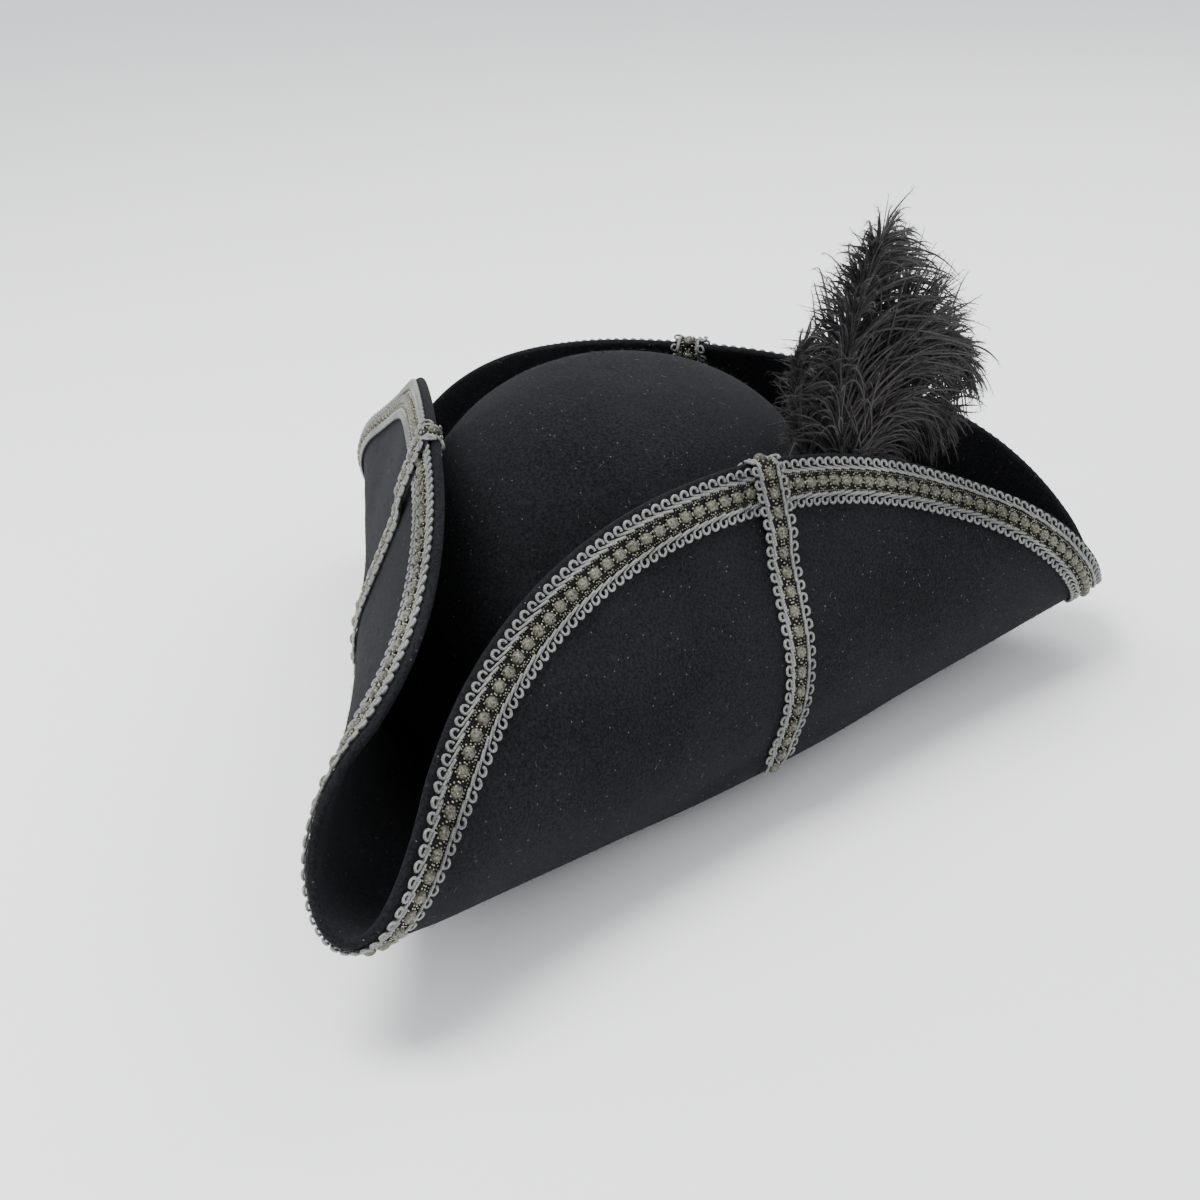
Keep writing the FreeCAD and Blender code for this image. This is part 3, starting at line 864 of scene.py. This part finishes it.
@dataclass
class FlapRoute:
    """The way of a strip up a flap's outer face, over the rim braid, round the rim and down inside."""

    angle: float
    shape: HatShape = HAT
    foot_gap: float = 0.007
    step_start: float = 0.0187
    step_end: float = 0.0287
    over_braid: float = 0.0021
    wrap_reach: float = 0.0010
    tail: float = 0.017
    wrap_share: float = 0.8
    search_step: float = 0.00125
    climb: float = 0.0

    def __post_init__(self) -> None:
        """Finds the flat length from the crown to the rim."""
        while True:
            flat = self.shape.rim(self.angle) - self.shape.rim_out(self.angle) * self.climb
            ratio = math.hypot(flat.x / self.shape.crown_half_width, flat.y / self.shape.crown_half_length)
            if flat.length * (1.0 - 1.0 / ratio) < self.foot_gap:
                break
            self.climb += self.search_step

    @property
    def wrap(self) -> float:
        """Length of the turn round the rim."""
        return math.pi * (self.shape.felt + self.over_braid) / 2.0 * self.wrap_share

    @property
    def length(self) -> float:
        """Whole length of the strip."""
        return self.climb + self.wrap + self.tail

    def place(self, along: float, across: float, height: float) -> Vector:
        """A point on the strip, from its foot near the crown to its tail inside the flap.

        Args:
            along: distance from the strip's foot.
            across: distance from its middle.
            height: distance off the felt, or off the rim braid where the strip crosses it.

        Returns:
            The point.
        """
        shape = self.shape
        half = shape.felt / 2.0
        inward = shape.rim_out(self.angle) * -1.0
        sideways = inward.cross(UP)
        if along < self.climb:
            inset = self.climb - along
            drop = ease((inset - self.step_start) / (self.step_end - self.step_start))
            flat = shape.rim(self.angle) + inward * inset + sideways * across
            return shape.on_brim(flat.x, flat.y, half + self.over_braid * (1.0 - drop) + height)
        if along > self.climb + self.wrap:
            inset = along - self.climb - self.wrap
            flat = shape.rim(self.angle) + inward * inset + sideways * across
            return shape.on_brim(flat.x, flat.y, -half - height)
        swing = math.pi * (along - self.climb) / self.wrap
        top, bottom = half + self.over_braid + height, -half - height
        flat = shape.rim(self.angle) + sideways * across
        level = (top + bottom) / 2.0 + (top - bottom) / 2.0 * math.cos(swing)
        edge = shape.on_brim(flat.x, flat.y, level)
        back = flat + inward * 0.001
        out = (shape.folded(flat.x, flat.y) - shape.folded(back.x, back.y)).normalized()
        return edge + out * (self.wrap_reach + height) * math.sin(swing)


# ------------------------------------------------------------------ gimp braid


@dataclass
class GimpBraid:
    """Scroll gimp: a row of wound beads between purl wires, edged by rows of cord scrolls."""

    name: str
    place: Place
    length: float
    width: float = 0.0145
    scroll_pitch: float = 0.0038
    scroll_radius: float = 0.00120
    ring_start: float = -25.0
    ring_turn: float = 300.0
    ring_steps: int = 11
    cord_radius: float = 0.00052
    tail_length: float = 0.0050
    tail_drift: float = 0.0004
    bead_pitch: float = 0.0055
    bead_length: float = 0.0023
    bead_width: float = 0.0020
    bead_height: float = 0.00110
    purl_swing: float = 0.0024
    purl_radius: float = 0.00037
    purl_pitch: float = 0.00090
    ground_width: float = 0.0104
    ground_height: float = 0.0004
    tail_way: float = 1.0
    seed: int = 5

    def scroll(self, centre: float, side: Side, rng: random.Random) -> list[Vector]:
        """One scroll of cord: a ring at the edge and a tail that sweeps along the braid.

        Args:
            centre: distance of the ring's middle along the braid.
            side: the edge it belongs to.
            rng: source of the small unevenness.

        Returns:
            Points along the cord.
        """
        sign = side.value
        radius = self.scroll_radius * rng.uniform(0.93, 1.07)
        middle = self.width / 2.0 - radius - self.cord_radius
        low = self.cord_radius + self.ground_height
        points = []
        ring_steps = self.ring_steps
        for step in range(ring_steps + 1):
            swing = math.radians(self.ring_start + self.ring_turn * step / ring_steps)
            height = low + self.cord_radius * 0.9 * (1.0 - step / ring_steps)
            along = centre + self.tail_way * radius * math.cos(swing)
            across = middle + radius * math.sin(swing)
            points.append(self.place(along, sign * across, height))
        for share in (0.3, 0.6, 1.0):
            along = centre + self.tail_way * (radius * 0.2 + self.tail_length * share)
            across = middle - radius * (1.0 + 0.45 * share**0.8) - self.tail_drift * share
            points.append(self.place(along, sign * across, low + self.cord_radius * (0.2 + 0.9 * share)))
        return points

    def scrolls(self, side: Side) -> bpy.types.Object:
        """Makes the row of scrolls along one edge.

        Args:
            side: the edge.

        Returns:
            The row of cord scrolls.
        """
        rng = random.Random(self.seed + side.value)
        count = int((self.length - self.tail_length) / self.scroll_pitch)
        pitch = (self.length - self.tail_length) / count
        first = pitch * 0.5 + (self.tail_length if self.tail_way < 0.0 else 0.0)
        paths = [
            self.scroll(first + index * pitch + rng.uniform(-0.02, 0.02) * pitch, side, rng)
            for index in range(count)
        ]
        radii = [[self.cord_radius] * len(path) for path in paths]
        return tubes_object(f"{self.name}_{side.name.lower()}_scrolls", paths, radii)

    def beads(self) -> bpy.types.Object:
        """Makes the row of round wound beads.

        Returns:
            The beads.
        """
        rng = random.Random(self.seed)
        places = []
        count = int(self.length / self.bead_pitch)
        for index in range(count):
            along = (index + 0.5) * self.length / count
            across = rng.uniform(-0.00015, 0.00015)
            height = self.ground_height + self.bead_height * 0.75
            middle = self.place(along, across, height)
            ahead = (self.place(along + 0.0005, across, height) - middle).normalized()
            aside = (self.place(along, across + 0.0005, height) - middle).normalized()
            out = ahead.cross(aside).normalized()
            turn = Matrix((ahead, out.cross(ahead), out)).transposed().to_4x4()
            size = Matrix.Diagonal((self.bead_length, self.bead_width, self.bead_height * 1.5, 1.0))
            spin = Matrix.Rotation(rng.uniform(-0.3, 0.3), 4, "Z")
            places.append(Matrix.Translation(middle) @ turn @ spin @ size)
        ball = bmesh.new()
        bmesh.ops.create_uvsphere(ball, u_segments=10, v_segments=6, radius=1.0)
        return scattered_object(self.name + "_beads", ball, places)

    def dots(self, name: str, radius: float, points: Iterable[Vector]) -> bpy.types.Object:
        """Makes small round dots of bright wire at many points.

        Args:
            name: name of the piece.
            radius: radius of a dot.
            points: their middles.

        Returns:
            The dots.
        """
        dot = bmesh.new()
        bmesh.ops.create_icosphere(dot, subdivisions=1, radius=radius)
        return scattered_object(name, dot, (Matrix.Translation(point) for point in points))

    def purls(self) -> bpy.types.Object:
        """Makes two beaded wires that wind round the beads and cross between them.

        Returns:
            The wires' dots.
        """
        pitch = self.length / int(self.length / self.bead_pitch)
        dots = int(self.length / self.purl_pitch)
        points = []
        for phase in (0.0, math.pi):
            for index in range(dots):
                along = (index + 0.5) * self.length / dots
                swing = math.pi * along / pitch + phase
                across = self.purl_swing * math.sin(swing)
                height = self.ground_height + self.purl_radius * (1.2 + 1.2 * math.cos(swing) ** 2)
                points.append(self.place(along, across, height))
        return self.dots(self.name + "_purls", self.purl_radius, points)

    def edge_purls(self) -> bpy.types.Object:
        """Makes the straight beaded wires along both sides of the beads.

        Returns:
            The wires' dots.
        """
        dots = int(self.length / (self.purl_pitch * 1.1))
        height = self.ground_height + self.purl_radius * 0.9
        points = [
            self.place((index + 0.5) * self.length / dots, sign * self.purl_swing * 1.2, height)
            for sign in (-1.0, 1.0)
            for index in range(dots)
        ]
        return self.dots(self.name + "_edge_purls", self.purl_radius * 0.8, points)

    def ground(self) -> bpy.types.Object:
        """Makes the dark woven tape under it all.

        Returns:
            The tape.
        """
        half = self.ground_width / 2.0
        steps = max(12, int(self.length / 0.002))
        profile = (
            (-1.0, 0.05), (-0.96, 1.0), (0.0, 1.0), (0.96, 1.0), (1.0, 0.05), (0.0, 0.05), (-1.0, 0.05))

        def place(turn: float, share: float) -> Vector:
            """A point of the tape's skin.

            Args:
                turn: share of the braid's length.
                share: share of the way round its flat cross-section.

            Returns:
                The point.
            """
            across, level = profile[round(share * (len(profile) - 1))]
            return self.place(turn * self.length, across * half, level * self.ground_height)

        bm = grid_mesh(steps, len(profile) - 1, place)
        bmesh.ops.remove_doubles(bm, verts=bm.verts, dist=1e-6)
        ends = [edge for edge in bm.edges if edge.is_boundary]
        bmesh.ops.holes_fill(bm, edges=ends)
        bmesh.ops.recalc_face_normals(bm, faces=bm.faces)
        return mesh_object(self.name + "_ground", bm, smooth=False)

    def build(self) -> None:
        """Makes and places the braid in place of its plain strip."""
        place_piece(self.ground(), Finish.TAPE, replaced=[self.name])
        for side in Side:
            place_piece(self.scrolls(side), Finish.CORD)
        place_piece(self.beads(), Finish.BEAD)
        place_piece(self.purls(), Finish.PURL)
        place_piece(self.edge_purls(), Finish.PURL)


@dataclass
class BraidEnd:
    """Loose threads where a strip of braid was cut."""

    name: str
    place: Place
    along: float
    forward: float
    width: float = 0.011
    count: int = 46
    length: float = 0.006
    root_overlap: float = 0.0015
    root_height: float = 0.0005
    finish: Finish = Finish.CORD
    seed: int = 3

    def build(self) -> None:
        """Makes and places the frayed threads."""
        rng = random.Random(self.seed)
        paths, radii = [], []
        for _ in range(self.count):
            across = rng.uniform(-0.5, 0.5) * self.width
            size = self.length * rng.uniform(0.35, 1.2)
            drift = rng.uniform(-0.35, 0.35)
            lift = rng.uniform(0.05, 0.6)
            start = self.along - self.forward * self.root_overlap
            path = []
            for step in range(5):
                share = step / 4.0
                along = start + self.forward * size * share
                height = self.root_height + size * lift * share**1.5
                path.append(self.place(along, across + drift * size * share**2, height))
            paths.append(path)
            radii.append([0.00011, 0.00011, 0.0001, 0.00008, 0.00004])
        place_piece(tubes_object(self.name, paths, radii), self.finish)


# ------------------------------------------------------------------ sweatband


@dataclass
class Sweatband:
    """The ribbed ribbon round the inside of the head opening."""

    shape: HatShape = HAT
    height: float = 0.028
    lift: float = 0.0004
    outer_inset: float = 0.0033
    thickness: float = 0.0008
    puckers: float = 46.0
    pucker_drift: float = 7.0
    pucker_depth: float = 0.0005
    steps: int = 320
    rows: int = 10

    def band(self) -> bpy.types.Object:
        """Makes the ribbon, a little puckered along its upper edge.

        Returns:
            The ribbon.
        """

        def place(turn: float, share: float) -> Vector:
            """A point of the ribbon's outer face.

            Args:
                turn: share of the way round the head opening.
                share: share of the way up the ribbon.

            Returns:
                The point.
            """
            angle = FULL_TURN * turn
            level = self.shape.head_line(angle) + self.lift + self.height * share
            wave = math.sin(angle * self.puckers + 2.0 * math.sin(angle * self.pucker_drift))
            pucker = (0.5 + 0.5 * wave) * self.pucker_depth * share**2
            return self.shape.on_crown(angle, level, self.outer_inset + pucker)

        bm = grid_mesh(self.steps, self.rows, place)
        weave = bm.loops.layers.uv.new("weave")
        for face in bm.faces:
            for loop in face.loops:
                point = loop.vert.co
                loop[weave].uv = (math.atan2(point.y, point.x) / FULL_TURN, point.z * 10.0)
        close_and_orient(bm)
        for face in bm.faces:
            centre = face.calc_center_median()
            if Vector((centre.x, centre.y, 0.0)).dot(face.normal) > 0.0:
                face.normal_flip()
        bmesh.ops.solidify(bm, geom=bm.faces[:], thickness=-self.thickness)
        return mesh_object("sweatband_ribbon", bm)

    def build(self) -> None:
        """Makes and places the band, and dresses its stitches."""
        place_piece(self.band(), Finish.RIBBON, replaced=["sweatband"])
        dress(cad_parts["sweatband_stitches"], Finish.THREAD)


# ------------------------------------------------------------------ plumes


@dataclass(frozen=True)
class PlumeShape:
    """One plume: its spine in the fan and how full it is.

    Spine points are (along the fan, out towards the flap, up from the hinge). The first side of the
    shaft is the one towards the front, or the top where the plume arches over.
    """

    body: str
    spine: tuple[tuple[float, float, float], ...]
    first_length: float
    second_length: float
    tip_length: float
    clumps: int
    start: float
    end: float
    droop: float


BARB_STEPS = 9
BARB_TAPER = (1.0, 1.15, 1.2, 1.15, 1.05, 0.95, 0.8, 0.62, 0.42, 0.2)


@dataclass
class PlumeBunch:
    """Four plumes that stand inside the left flap, tied with thread."""

    hinge: tuple[float, float, float] = (0.105, -0.0145, 0.052)
    heading: float = math.radians(60.0)
    plumes: tuple[PlumeShape, ...] = (
        PlumeShape(
            body="front_plume",
            spine=(
                (-0.0045, 0.0, 0.0), (-0.009, -0.024, 0.030),
                (-0.016, -0.036, 0.070), (-0.006, -0.034, 0.099)),
            first_length=0.042, second_length=0.030, tip_length=0.018,
            clumps=30, start=0.44, end=0.93, droop=0.55,
        ),
        PlumeShape(
            body="tall_plume",
            spine=(
                (-0.0015, 0.0, 0.0), (-0.003, -0.025, 0.034), (0.002, -0.034, 0.088), (0.030, -0.028, 0.136)),
            first_length=0.044, second_length=0.078, tip_length=0.030,
            clumps=136, start=0.28, end=0.92, droop=0.70,
        ),
        PlumeShape(
            body="rear_plume",
            spine=(
                (0.0015, 0.0, 0.0), (0.0, -0.028, 0.048), (0.035, -0.038, 0.120), (0.078, -0.027, 0.063)),
            first_length=0.070, second_length=0.050, tip_length=0.024,
            clumps=120, start=0.26, end=0.93, droop=0.85,
        ),
        PlumeShape(
            body="low_plume",
            spine=(
                (0.0045, 0.0, 0.0), (0.002, -0.027, 0.048), (0.035, -0.036, 0.080), (0.062, -0.027, 0.050)),
            first_length=0.046, second_length=0.036, tip_length=0.020,
            clumps=84, start=0.28, end=0.93, droop=0.90,
        ),
    )
    outline: tuple[tuple[float, float, float], ...] = (
        (0.030, -0.014, 0.060), (0.045, -0.016, 0.081), (0.065, -0.017, 0.083), (0.085, -0.014, 0.070),
        (0.105, 0.000, 0.062), (0.118, 0.010, 0.048), (0.129, 0.024, 0.036), (0.134, 0.029, 0.032))
    middle_out: float = -0.030
    skew: float = 0.79
    lowest_droop: float = 0.040
    open_side: float = 0.030
    rim_level: float = 0.050
    flap_gap: float = 0.008
    rim_lean: float = 0.013
    usual_stray: float = 0.0020
    wild_stray: float = 0.008
    wild_share: float = 0.05
    least_share: float = 0.12
    side_spread: float = 0.50
    least_opening: float = 10.0
    least_opening_gain: float = 12.0
    most_opening: float = 32.0
    most_opening_gain: float = 22.0
    clump_unevenness: tuple[float, float] = (0.65, 1.1)
    barb_unevenness: tuple[float, float] = (0.8, 1.1)
    barbs_per_clump: int = 4
    tip_barbs: int = 44
    tip_reach: tuple[float, float] = (0.78, 0.93)
    barb_radius: float = 0.00042
    waviness: float = 0.10
    hair_length: float = 0.0018
    hair_radius: float = 0.000055
    hairs_per_barb: int = 36
    tie_row: float = 0.0045
    tie_radius: float = 0.0021
    tie_thread: float = 0.00032
    tie_packing: float = 1.9
    tie_steps: int = 28
    seed: int = 23

    def fan(self, point: Sequence[float]) -> Vector:
        """Turns a point of the fan into a place on the hat.

        Args:
            point: distances along the fan, out towards the flap and up from the hinge.

        Returns:
            The place.
        """
        along, out, rise = point
        ahead = Vector((math.cos(self.heading), math.sin(self.heading), 0.0))
        aside = Vector((math.sin(self.heading), -math.cos(self.heading), 0.0))
        return Vector(self.hinge) + ahead * along + aside * out + UP * rise

    def spine_point(self, plume: PlumeShape, share: float) -> Vector:
        """A point of a plume's shaft.

        Args:
            plume: the plume.
            share: share of the way from the hinge to the tip.

        Returns:
            The point.
        """
        rest = 1.0 - share
        weights = (rest**3, 3.0 * share * rest**2, 3.0 * share**2 * rest, share**3)
        place = Vector()
        for weight, control in zip(weights, plume.spine):
            place += self.fan(control) * weight
        return place

    def spine_ahead(self, plume: PlumeShape, share: float) -> Vector:
        """Direction of the shaft."""
        low, high = max(share - 0.02, 0.0), min(share + 0.02, 1.0)
        return (self.spine_point(plume, high) - self.spine_point(plume, low)).normalized()

    def beyond(self, point: Vector) -> float:
        """How far a point of a barb stands outside the bunch's outline, or into the flap.

        Args:
            point: the point.

        Returns:
            The distance, zero or less where the point is inside.
        """
        offset = point - Vector(self.hinge)
        along = offset.x * math.cos(self.heading) + offset.y * math.sin(self.heading)
        out = offset.x * math.sin(self.heading) - offset.y * math.cos(self.heading)
        along += self.skew * (out - self.middle_out)
        rows = self.outline
        above = max(offset.z - rows[-1][0], 0.0)
        level = min(max(offset.z, rows[0][0]), rows[-1][0])
        upper = next(index for index in range(1, len(rows)) if rows[index][0] >= level)
        (low, low_front, low_back), (high, high_front, high_back) = rows[upper - 1], rows[upper]
        share = (level - low) / (high - low)
        front = low_front + (high_front - low_front) * share
        back = low_back + (high_back - low_back) * share
        droop = self.lowest_droop - offset.z if along > self.open_side else 0.0
        flap = out + self.flap_gap + self.rim_lean * min(max(offset.z / self.rim_level, 0.0), 1.0)
        if offset.z > self.rim_level * 1.3:
            flap = 0.0
        return max(front - along, along - back, above, droop, flap * 4.0)

    def trimmed_barb(
        self, plume: PlumeShape, root: Vector, heading: Vector, length: float, curl: Vector,
        rng: random.Random,
    ) -> list[Vector]:
        """One barb, shortened so that it strays only a little out of the bunch.

        Args:
            plume: the plume it grows on.
            root: where it leaves the shaft.
            heading: the way it sets out.
            length: its length before it is trimmed.
            curl: the way it bends.
            rng: source of its stray and its wave.

        Returns:
            Points along the barb.
        """
        stray = rng.expovariate(1.0) * self.usual_stray
        stray += self.wild_stray if rng.random() < self.wild_share else 0.0
        phase = rng.uniform(0.0, FULL_TURN)
        path = self.barb_path(plume, root, heading, length, curl, phase)
        inside = next((index for index, point in enumerate(path) if self.beyond(point) > stray), len(path))
        if inside == len(path):
            return path
        kept = length * max(inside / len(path), self.least_share)
        return self.barb_path(plume, root, heading, kept, curl, phase)

    def barb_path(
        self, plume: PlumeShape, root: Vector, heading: Vector, length: float, curl: Vector, phase: float
    ) -> list[Vector]:
        """One wavy barb, bending away from the shaft and then down under its own weight.

        Args:
            plume: the plume it grows on.
            root: where it leaves the shaft.
            heading: the way it sets out.
            length: its length.
            curl: the way it bends.
            phase: where its wave starts.

        Returns:
            Points along the barb.
        """
        step = length / BARB_STEPS
        path = [root.copy()]
        heading = heading.normalized()
        for index in range(BARB_STEPS):
            share = (index + 1) / BARB_STEPS
            wave = heading.cross(UP) * math.sin(phase + 5.0 * share) + UP * math.cos(phase + 6.0 * share)
            sag = UP * (plume.droop * 0.30 * share**1.5)
            heading = (heading + curl * (0.05 + 0.16 * share) - sag + wave * self.waviness).normalized()
            path.append(path[-1] + heading * step)
        return path

    def clump_paths(self, plume: PlumeShape, rng: random.Random) -> list[list[Vector]]:
        """All the barbs of a plume's sides, in clumps that set out together.

        Args:
            plume: the plume.
            rng: source of their unevenness.

        Returns:
            Points along each barb.
        """
        out = Vector((math.sin(self.heading), -math.cos(self.heading), 0.0))
        paths = []
        for index in range(plume.clumps):
            along = ((index + rng.random()) / plume.clumps) ** 1.1
            share = plume.start + (plume.end - plume.start) * along
            first_side = index % 2 == 0
            ahead = self.spine_ahead(plume, share)
            across = out.cross(ahead).normalized() * (1.0 if first_side else -1.0)
            swing = rng.gauss(0.0, self.side_spread)
            away = (across * math.cos(swing) + out * math.sin(swing)).normalized()
            opening = math.radians(rng.uniform(
                self.least_opening + self.least_opening_gain * along,
                self.most_opening + self.most_opening_gain * along))
            full = plume.first_length if first_side else plume.second_length
            length = plume.tip_length + (full - plume.tip_length) * (1.0 - along**3.0)
            length *= rng.uniform(*self.clump_unevenness) * (0.75 + 0.25 * ease(along * 4.0))
            start = ahead * math.cos(opening) + away * math.sin(opening)
            curl = away * rng.uniform(0.2, 1.3) + ahead * rng.uniform(-0.2, 0.3)
            for _ in range(self.barbs_per_clump):
                root = self.spine_point(plume, min(max(share + rng.uniform(-0.02, 0.02), 0.0), 1.0))
                jitter = Vector((rng.gauss(0, 1), rng.gauss(0, 1), rng.gauss(0, 1)))
                size = length * rng.uniform(*self.barb_unevenness)
                paths.append(self.trimmed_barb(
                    plume, root, start + jitter * 0.10, size, curl + jitter * 0.16, rng))
        return paths

    def tip_paths(self, plume: PlumeShape, rng: random.Random) -> list[list[Vector]]:
        """The barbs that carry on past the end of the shaft.

        Args:
            plume: the plume.
            rng: source of their unevenness.

        Returns:
            Points along each barb.
        """
        paths = []
        for _ in range(self.tip_barbs):
            share = rng.uniform(*self.tip_reach)
            tip = self.spine_point(plume, share)
            ahead = self.spine_ahead(plume, share)
            jitter = Vector((rng.gauss(0, 1), rng.gauss(0, 1), rng.gauss(0, 1)))
            length = plume.tip_length * rng.uniform(0.7, 1.1)
            paths.append(self.trimmed_barb(plume, tip, ahead + jitter * 0.30, length, jitter * 0.3, rng))
        return paths

    def hairs(self, paths: Sequence[Sequence[Vector]], rng: random.Random) -> list[list[Vector]]:
        """The barbules: short hairs that slant off both sides of every barb.

        Args:
            paths: points along each barb.
            rng: source of their unevenness.

        Returns:
            The two ends of each hair.
        """
        made = []
        for path in paths:
            for index in range(self.hairs_per_barb):
                where = (index + rng.random()) / self.hairs_per_barb * (len(path) - 1)
                low = min(int(where), len(path) - 2)
                root = path[low].lerp(path[low + 1], where - low)
                ahead = (path[low + 1] - path[low]).normalized()
                aside = ahead.cross(Vector((rng.gauss(0, 1), rng.gauss(0, 1), rng.gauss(0, 1)))).normalized()
                size = self.hair_length * rng.uniform(0.6, 1.3)
                made.append([root, root + (ahead * 0.7 + aside) * size * 0.8])
        return made

    def dress_plume(self, plume: PlumeShape, seed: int) -> None:
        """Makes one plume's barbs and hairs and places them in place of its plain mass.

        Args:
            plume: the plume.
            seed: seed of its unevenness.
        """
        rng = random.Random(seed)
        paths = self.clump_paths(plume, rng) + self.tip_paths(plume, rng)
        radii = [[self.barb_radius * width for width in BARB_TAPER] for _ in paths]
        barbs = tubes_object(plume.body + "_barbs", paths, radii)
        place_piece(barbs, Finish.BARB, plume.body, [plume.body + "_flues"])
        hairs = self.hairs(paths, rng)
        hair_radii = [[self.hair_radius, self.hair_radius * 0.4] for _ in hairs]
        fluff = tubes_object(plume.body + "_barbules", hairs, hair_radii)
        place_piece(fluff, Finish.BARB, plume.body)
        dress(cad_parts[plume.body + "_shaft"], Finish.QUILL)

    def binding(self) -> bpy.types.Object:
        """Makes the thread wound round the quills, turn on turn.

        Returns:
            The thread.
        """
        low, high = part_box("plume_binding")
        centre = (Vector(low) + Vector(high)) / 2.0
        ahead = Vector((math.cos(self.heading), math.sin(self.heading), 0.0))
        aside = Vector((math.sin(self.heading), -math.cos(self.heading), 0.0))
        row, radius, thread = self.tie_row, self.tie_radius, self.tie_thread
        turns = int((high[2] - low[2]) / (thread * self.tie_packing))
        steps = self.tie_steps
        path = []
        for index in range(turns * steps + 1):
            swing = FULL_TURN * index / steps
            straight = row * max(-1.0, min(1.0, 1.6 * math.cos(swing)))
            level = low[2] + thread + (high[2] - low[2] - 2.0 * thread) * index / (turns * steps)
            offset = ahead * (straight + radius * math.cos(swing)) + aside * radius * math.sin(swing)
            path.append(Vector((centre.x, centre.y, level)) + offset)
        return tubes_object("plume_binding_thread", [path], [[thread] * len(path)], sides=6)

    def build(self) -> None:
        """Makes and places every plume and its tie."""
        for index, plume in enumerate(self.plumes):
            self.dress_plume(plume, self.seed + index)
        place_piece(self.binding(), Finish.THREAD, replaced=["plume_binding"])
        dress(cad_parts["quill_bases"], Finish.QUILL)
        dress(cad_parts["plume_tacks"], Finish.THREAD)


# ------------------------------------------------------------------ studio


@dataclass
class Studio:
    """A pale floor, soft lights and the camera."""

    azimuth: float = math.radians(21.845)
    elevation: float = math.radians(28.104)
    distance: float = 0.6908
    roll: float = math.radians(-1.889)
    lens_ratio: float = 1.4752
    aim_right: float = -0.0085
    aim_up: float = 0.0344

    def camera(self) -> None:
        """Places the camera."""
        sensor = 36.0
        data = bpy.data.cameras.new("camera")
        data.sensor_width = sensor
        data.lens = sensor * self.lens_ratio
        data.clip_start = 0.01
        camera = bpy.data.objects.new("camera", data)
        bpy.context.scene.collection.objects.link(camera)
        sin_e, cos_e = math.sin(self.elevation), math.cos(self.elevation)
        back = Vector((math.sin(self.azimuth) * cos_e, -math.cos(self.azimuth) * cos_e, sin_e))
        right = Vector((math.cos(self.azimuth), math.sin(self.azimuth), 0.0))
        up = back.cross(right)
        right, up = (right * math.cos(self.roll) + up * math.sin(self.roll),
                     up * math.cos(self.roll) - right * math.sin(self.roll))
        place = back * self.distance
        ahead = (right * self.aim_right + up * self.aim_up - place).normalized()
        aside = ahead.cross(up).normalized()
        camera.matrix_world = Matrix.Translation(place) @ Matrix(
            (aside, aside.cross(ahead), -ahead)).transposed().to_4x4()
        bpy.context.scene.camera = camera

    def lamp(self, name: str, place: Sequence[float], size: float, power: float) -> None:
        """Adds a soft square lamp that faces the hat.

        Args:
            name: name of the lamp.
            place: where it hangs.
            size: length of its side.
            power: its power in watts.
        """
        data = bpy.data.lights.new(name, "AREA")
        data.size = size
        data.energy = power
        lamp = bpy.data.objects.new(name, data)
        lamp.location = place
        lamp.rotation_euler = (Vector((0.0, 0.0, 0.06)) - Vector(place)).to_track_quat("-Z", "Y").to_euler()
        bpy.context.scene.collection.objects.link(lamp)

    def floor(self) -> None:
        """Lays the floor under the hat's lowest point."""
        bm = bmesh.new()
        bmesh.ops.create_grid(bm, x_segments=1, y_segments=1, size=6.0)
        bmesh.ops.translate(bm, verts=bm.verts, vec=(0.0, 0.0, CAD_BOX[0][2] - 0.0005))
        plane = mesh_object("floor", bm, smooth=False)
        made = bpy.data.materials.new("pale_floor")
        made.use_nodes = True
        made.node_tree.nodes["Principled BSDF"].inputs["Base Color"].default_value = (0.97, 0.97, 0.975, 1.0)
        made.node_tree.nodes["Principled BSDF"].inputs["Roughness"].default_value = 0.9
        plane.data.materials.append(made)

    def build(self) -> None:
        """Sets the whole studio up."""
        world = bpy.data.worlds.new("studio")
        world.use_nodes = True
        world.node_tree.nodes["Background"].inputs["Color"].default_value = (0.95, 0.97, 1.0, 1.0)
        world.node_tree.nodes["Background"].inputs["Strength"].default_value = 1.15
        bpy.context.scene.world = world
        self.floor()
        self.lamp("key", (-0.35, -0.35, 1.4), 0.7, 28.0)
        self.lamp("fill", (1.1, -0.8, 0.9), 0.8, 3.0)
        self.lamp("back", (0.2, 1.1, 1.2), 0.8, 10.0)
        self.camera()


# ------------------------------------------------------------------ the whole hat


LEFT_BAND_ANGLE = math.radians(-25.3)
RIGHT_BAND_ANGLE = math.radians(-143.5)
BACK_BAND_ANGLE = math.radians(90.0)
BAND_TAIL_LENGTH = 0.0062
RIM_FRAY_SETBACK = 0.009


def main() -> None:
    """Builds the hat."""
    Studio().build()
    FeltBody().build()
    rim = RimRoute(LEFT_BAND_ANGLE)
    GimpBraid("rim_braid", rim.place, rim.length).build()
    bands = {
        "left_flap_band": FlapRoute(LEFT_BAND_ANGLE),
        "right_flap_band": FlapRoute(RIGHT_BAND_ANGLE),
        "back_flap_band": FlapRoute(BACK_BAND_ANGLE),
    }
    for name, route in bands.items():
        GimpBraid(name, route.place, route.length, tail_way=-1.0, tail_length=BAND_TAIL_LENGTH).build()
    right = bands["right_flap_band"]
    BraidEnd("right_band_fray", right.place, right.length, 1.0).build()
    fray_start = rim.length - RIM_FRAY_SETBACK
    BraidEnd("rim_braid_fray", rim.place, fray_start, -1.0, finish=Finish.THREAD, seed=4).build()
    Sweatband().build()
    PlumeBunch().build()
    dress(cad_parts["band_tacks"], Finish.THREAD)


if __name__ == "__main__":
    main()
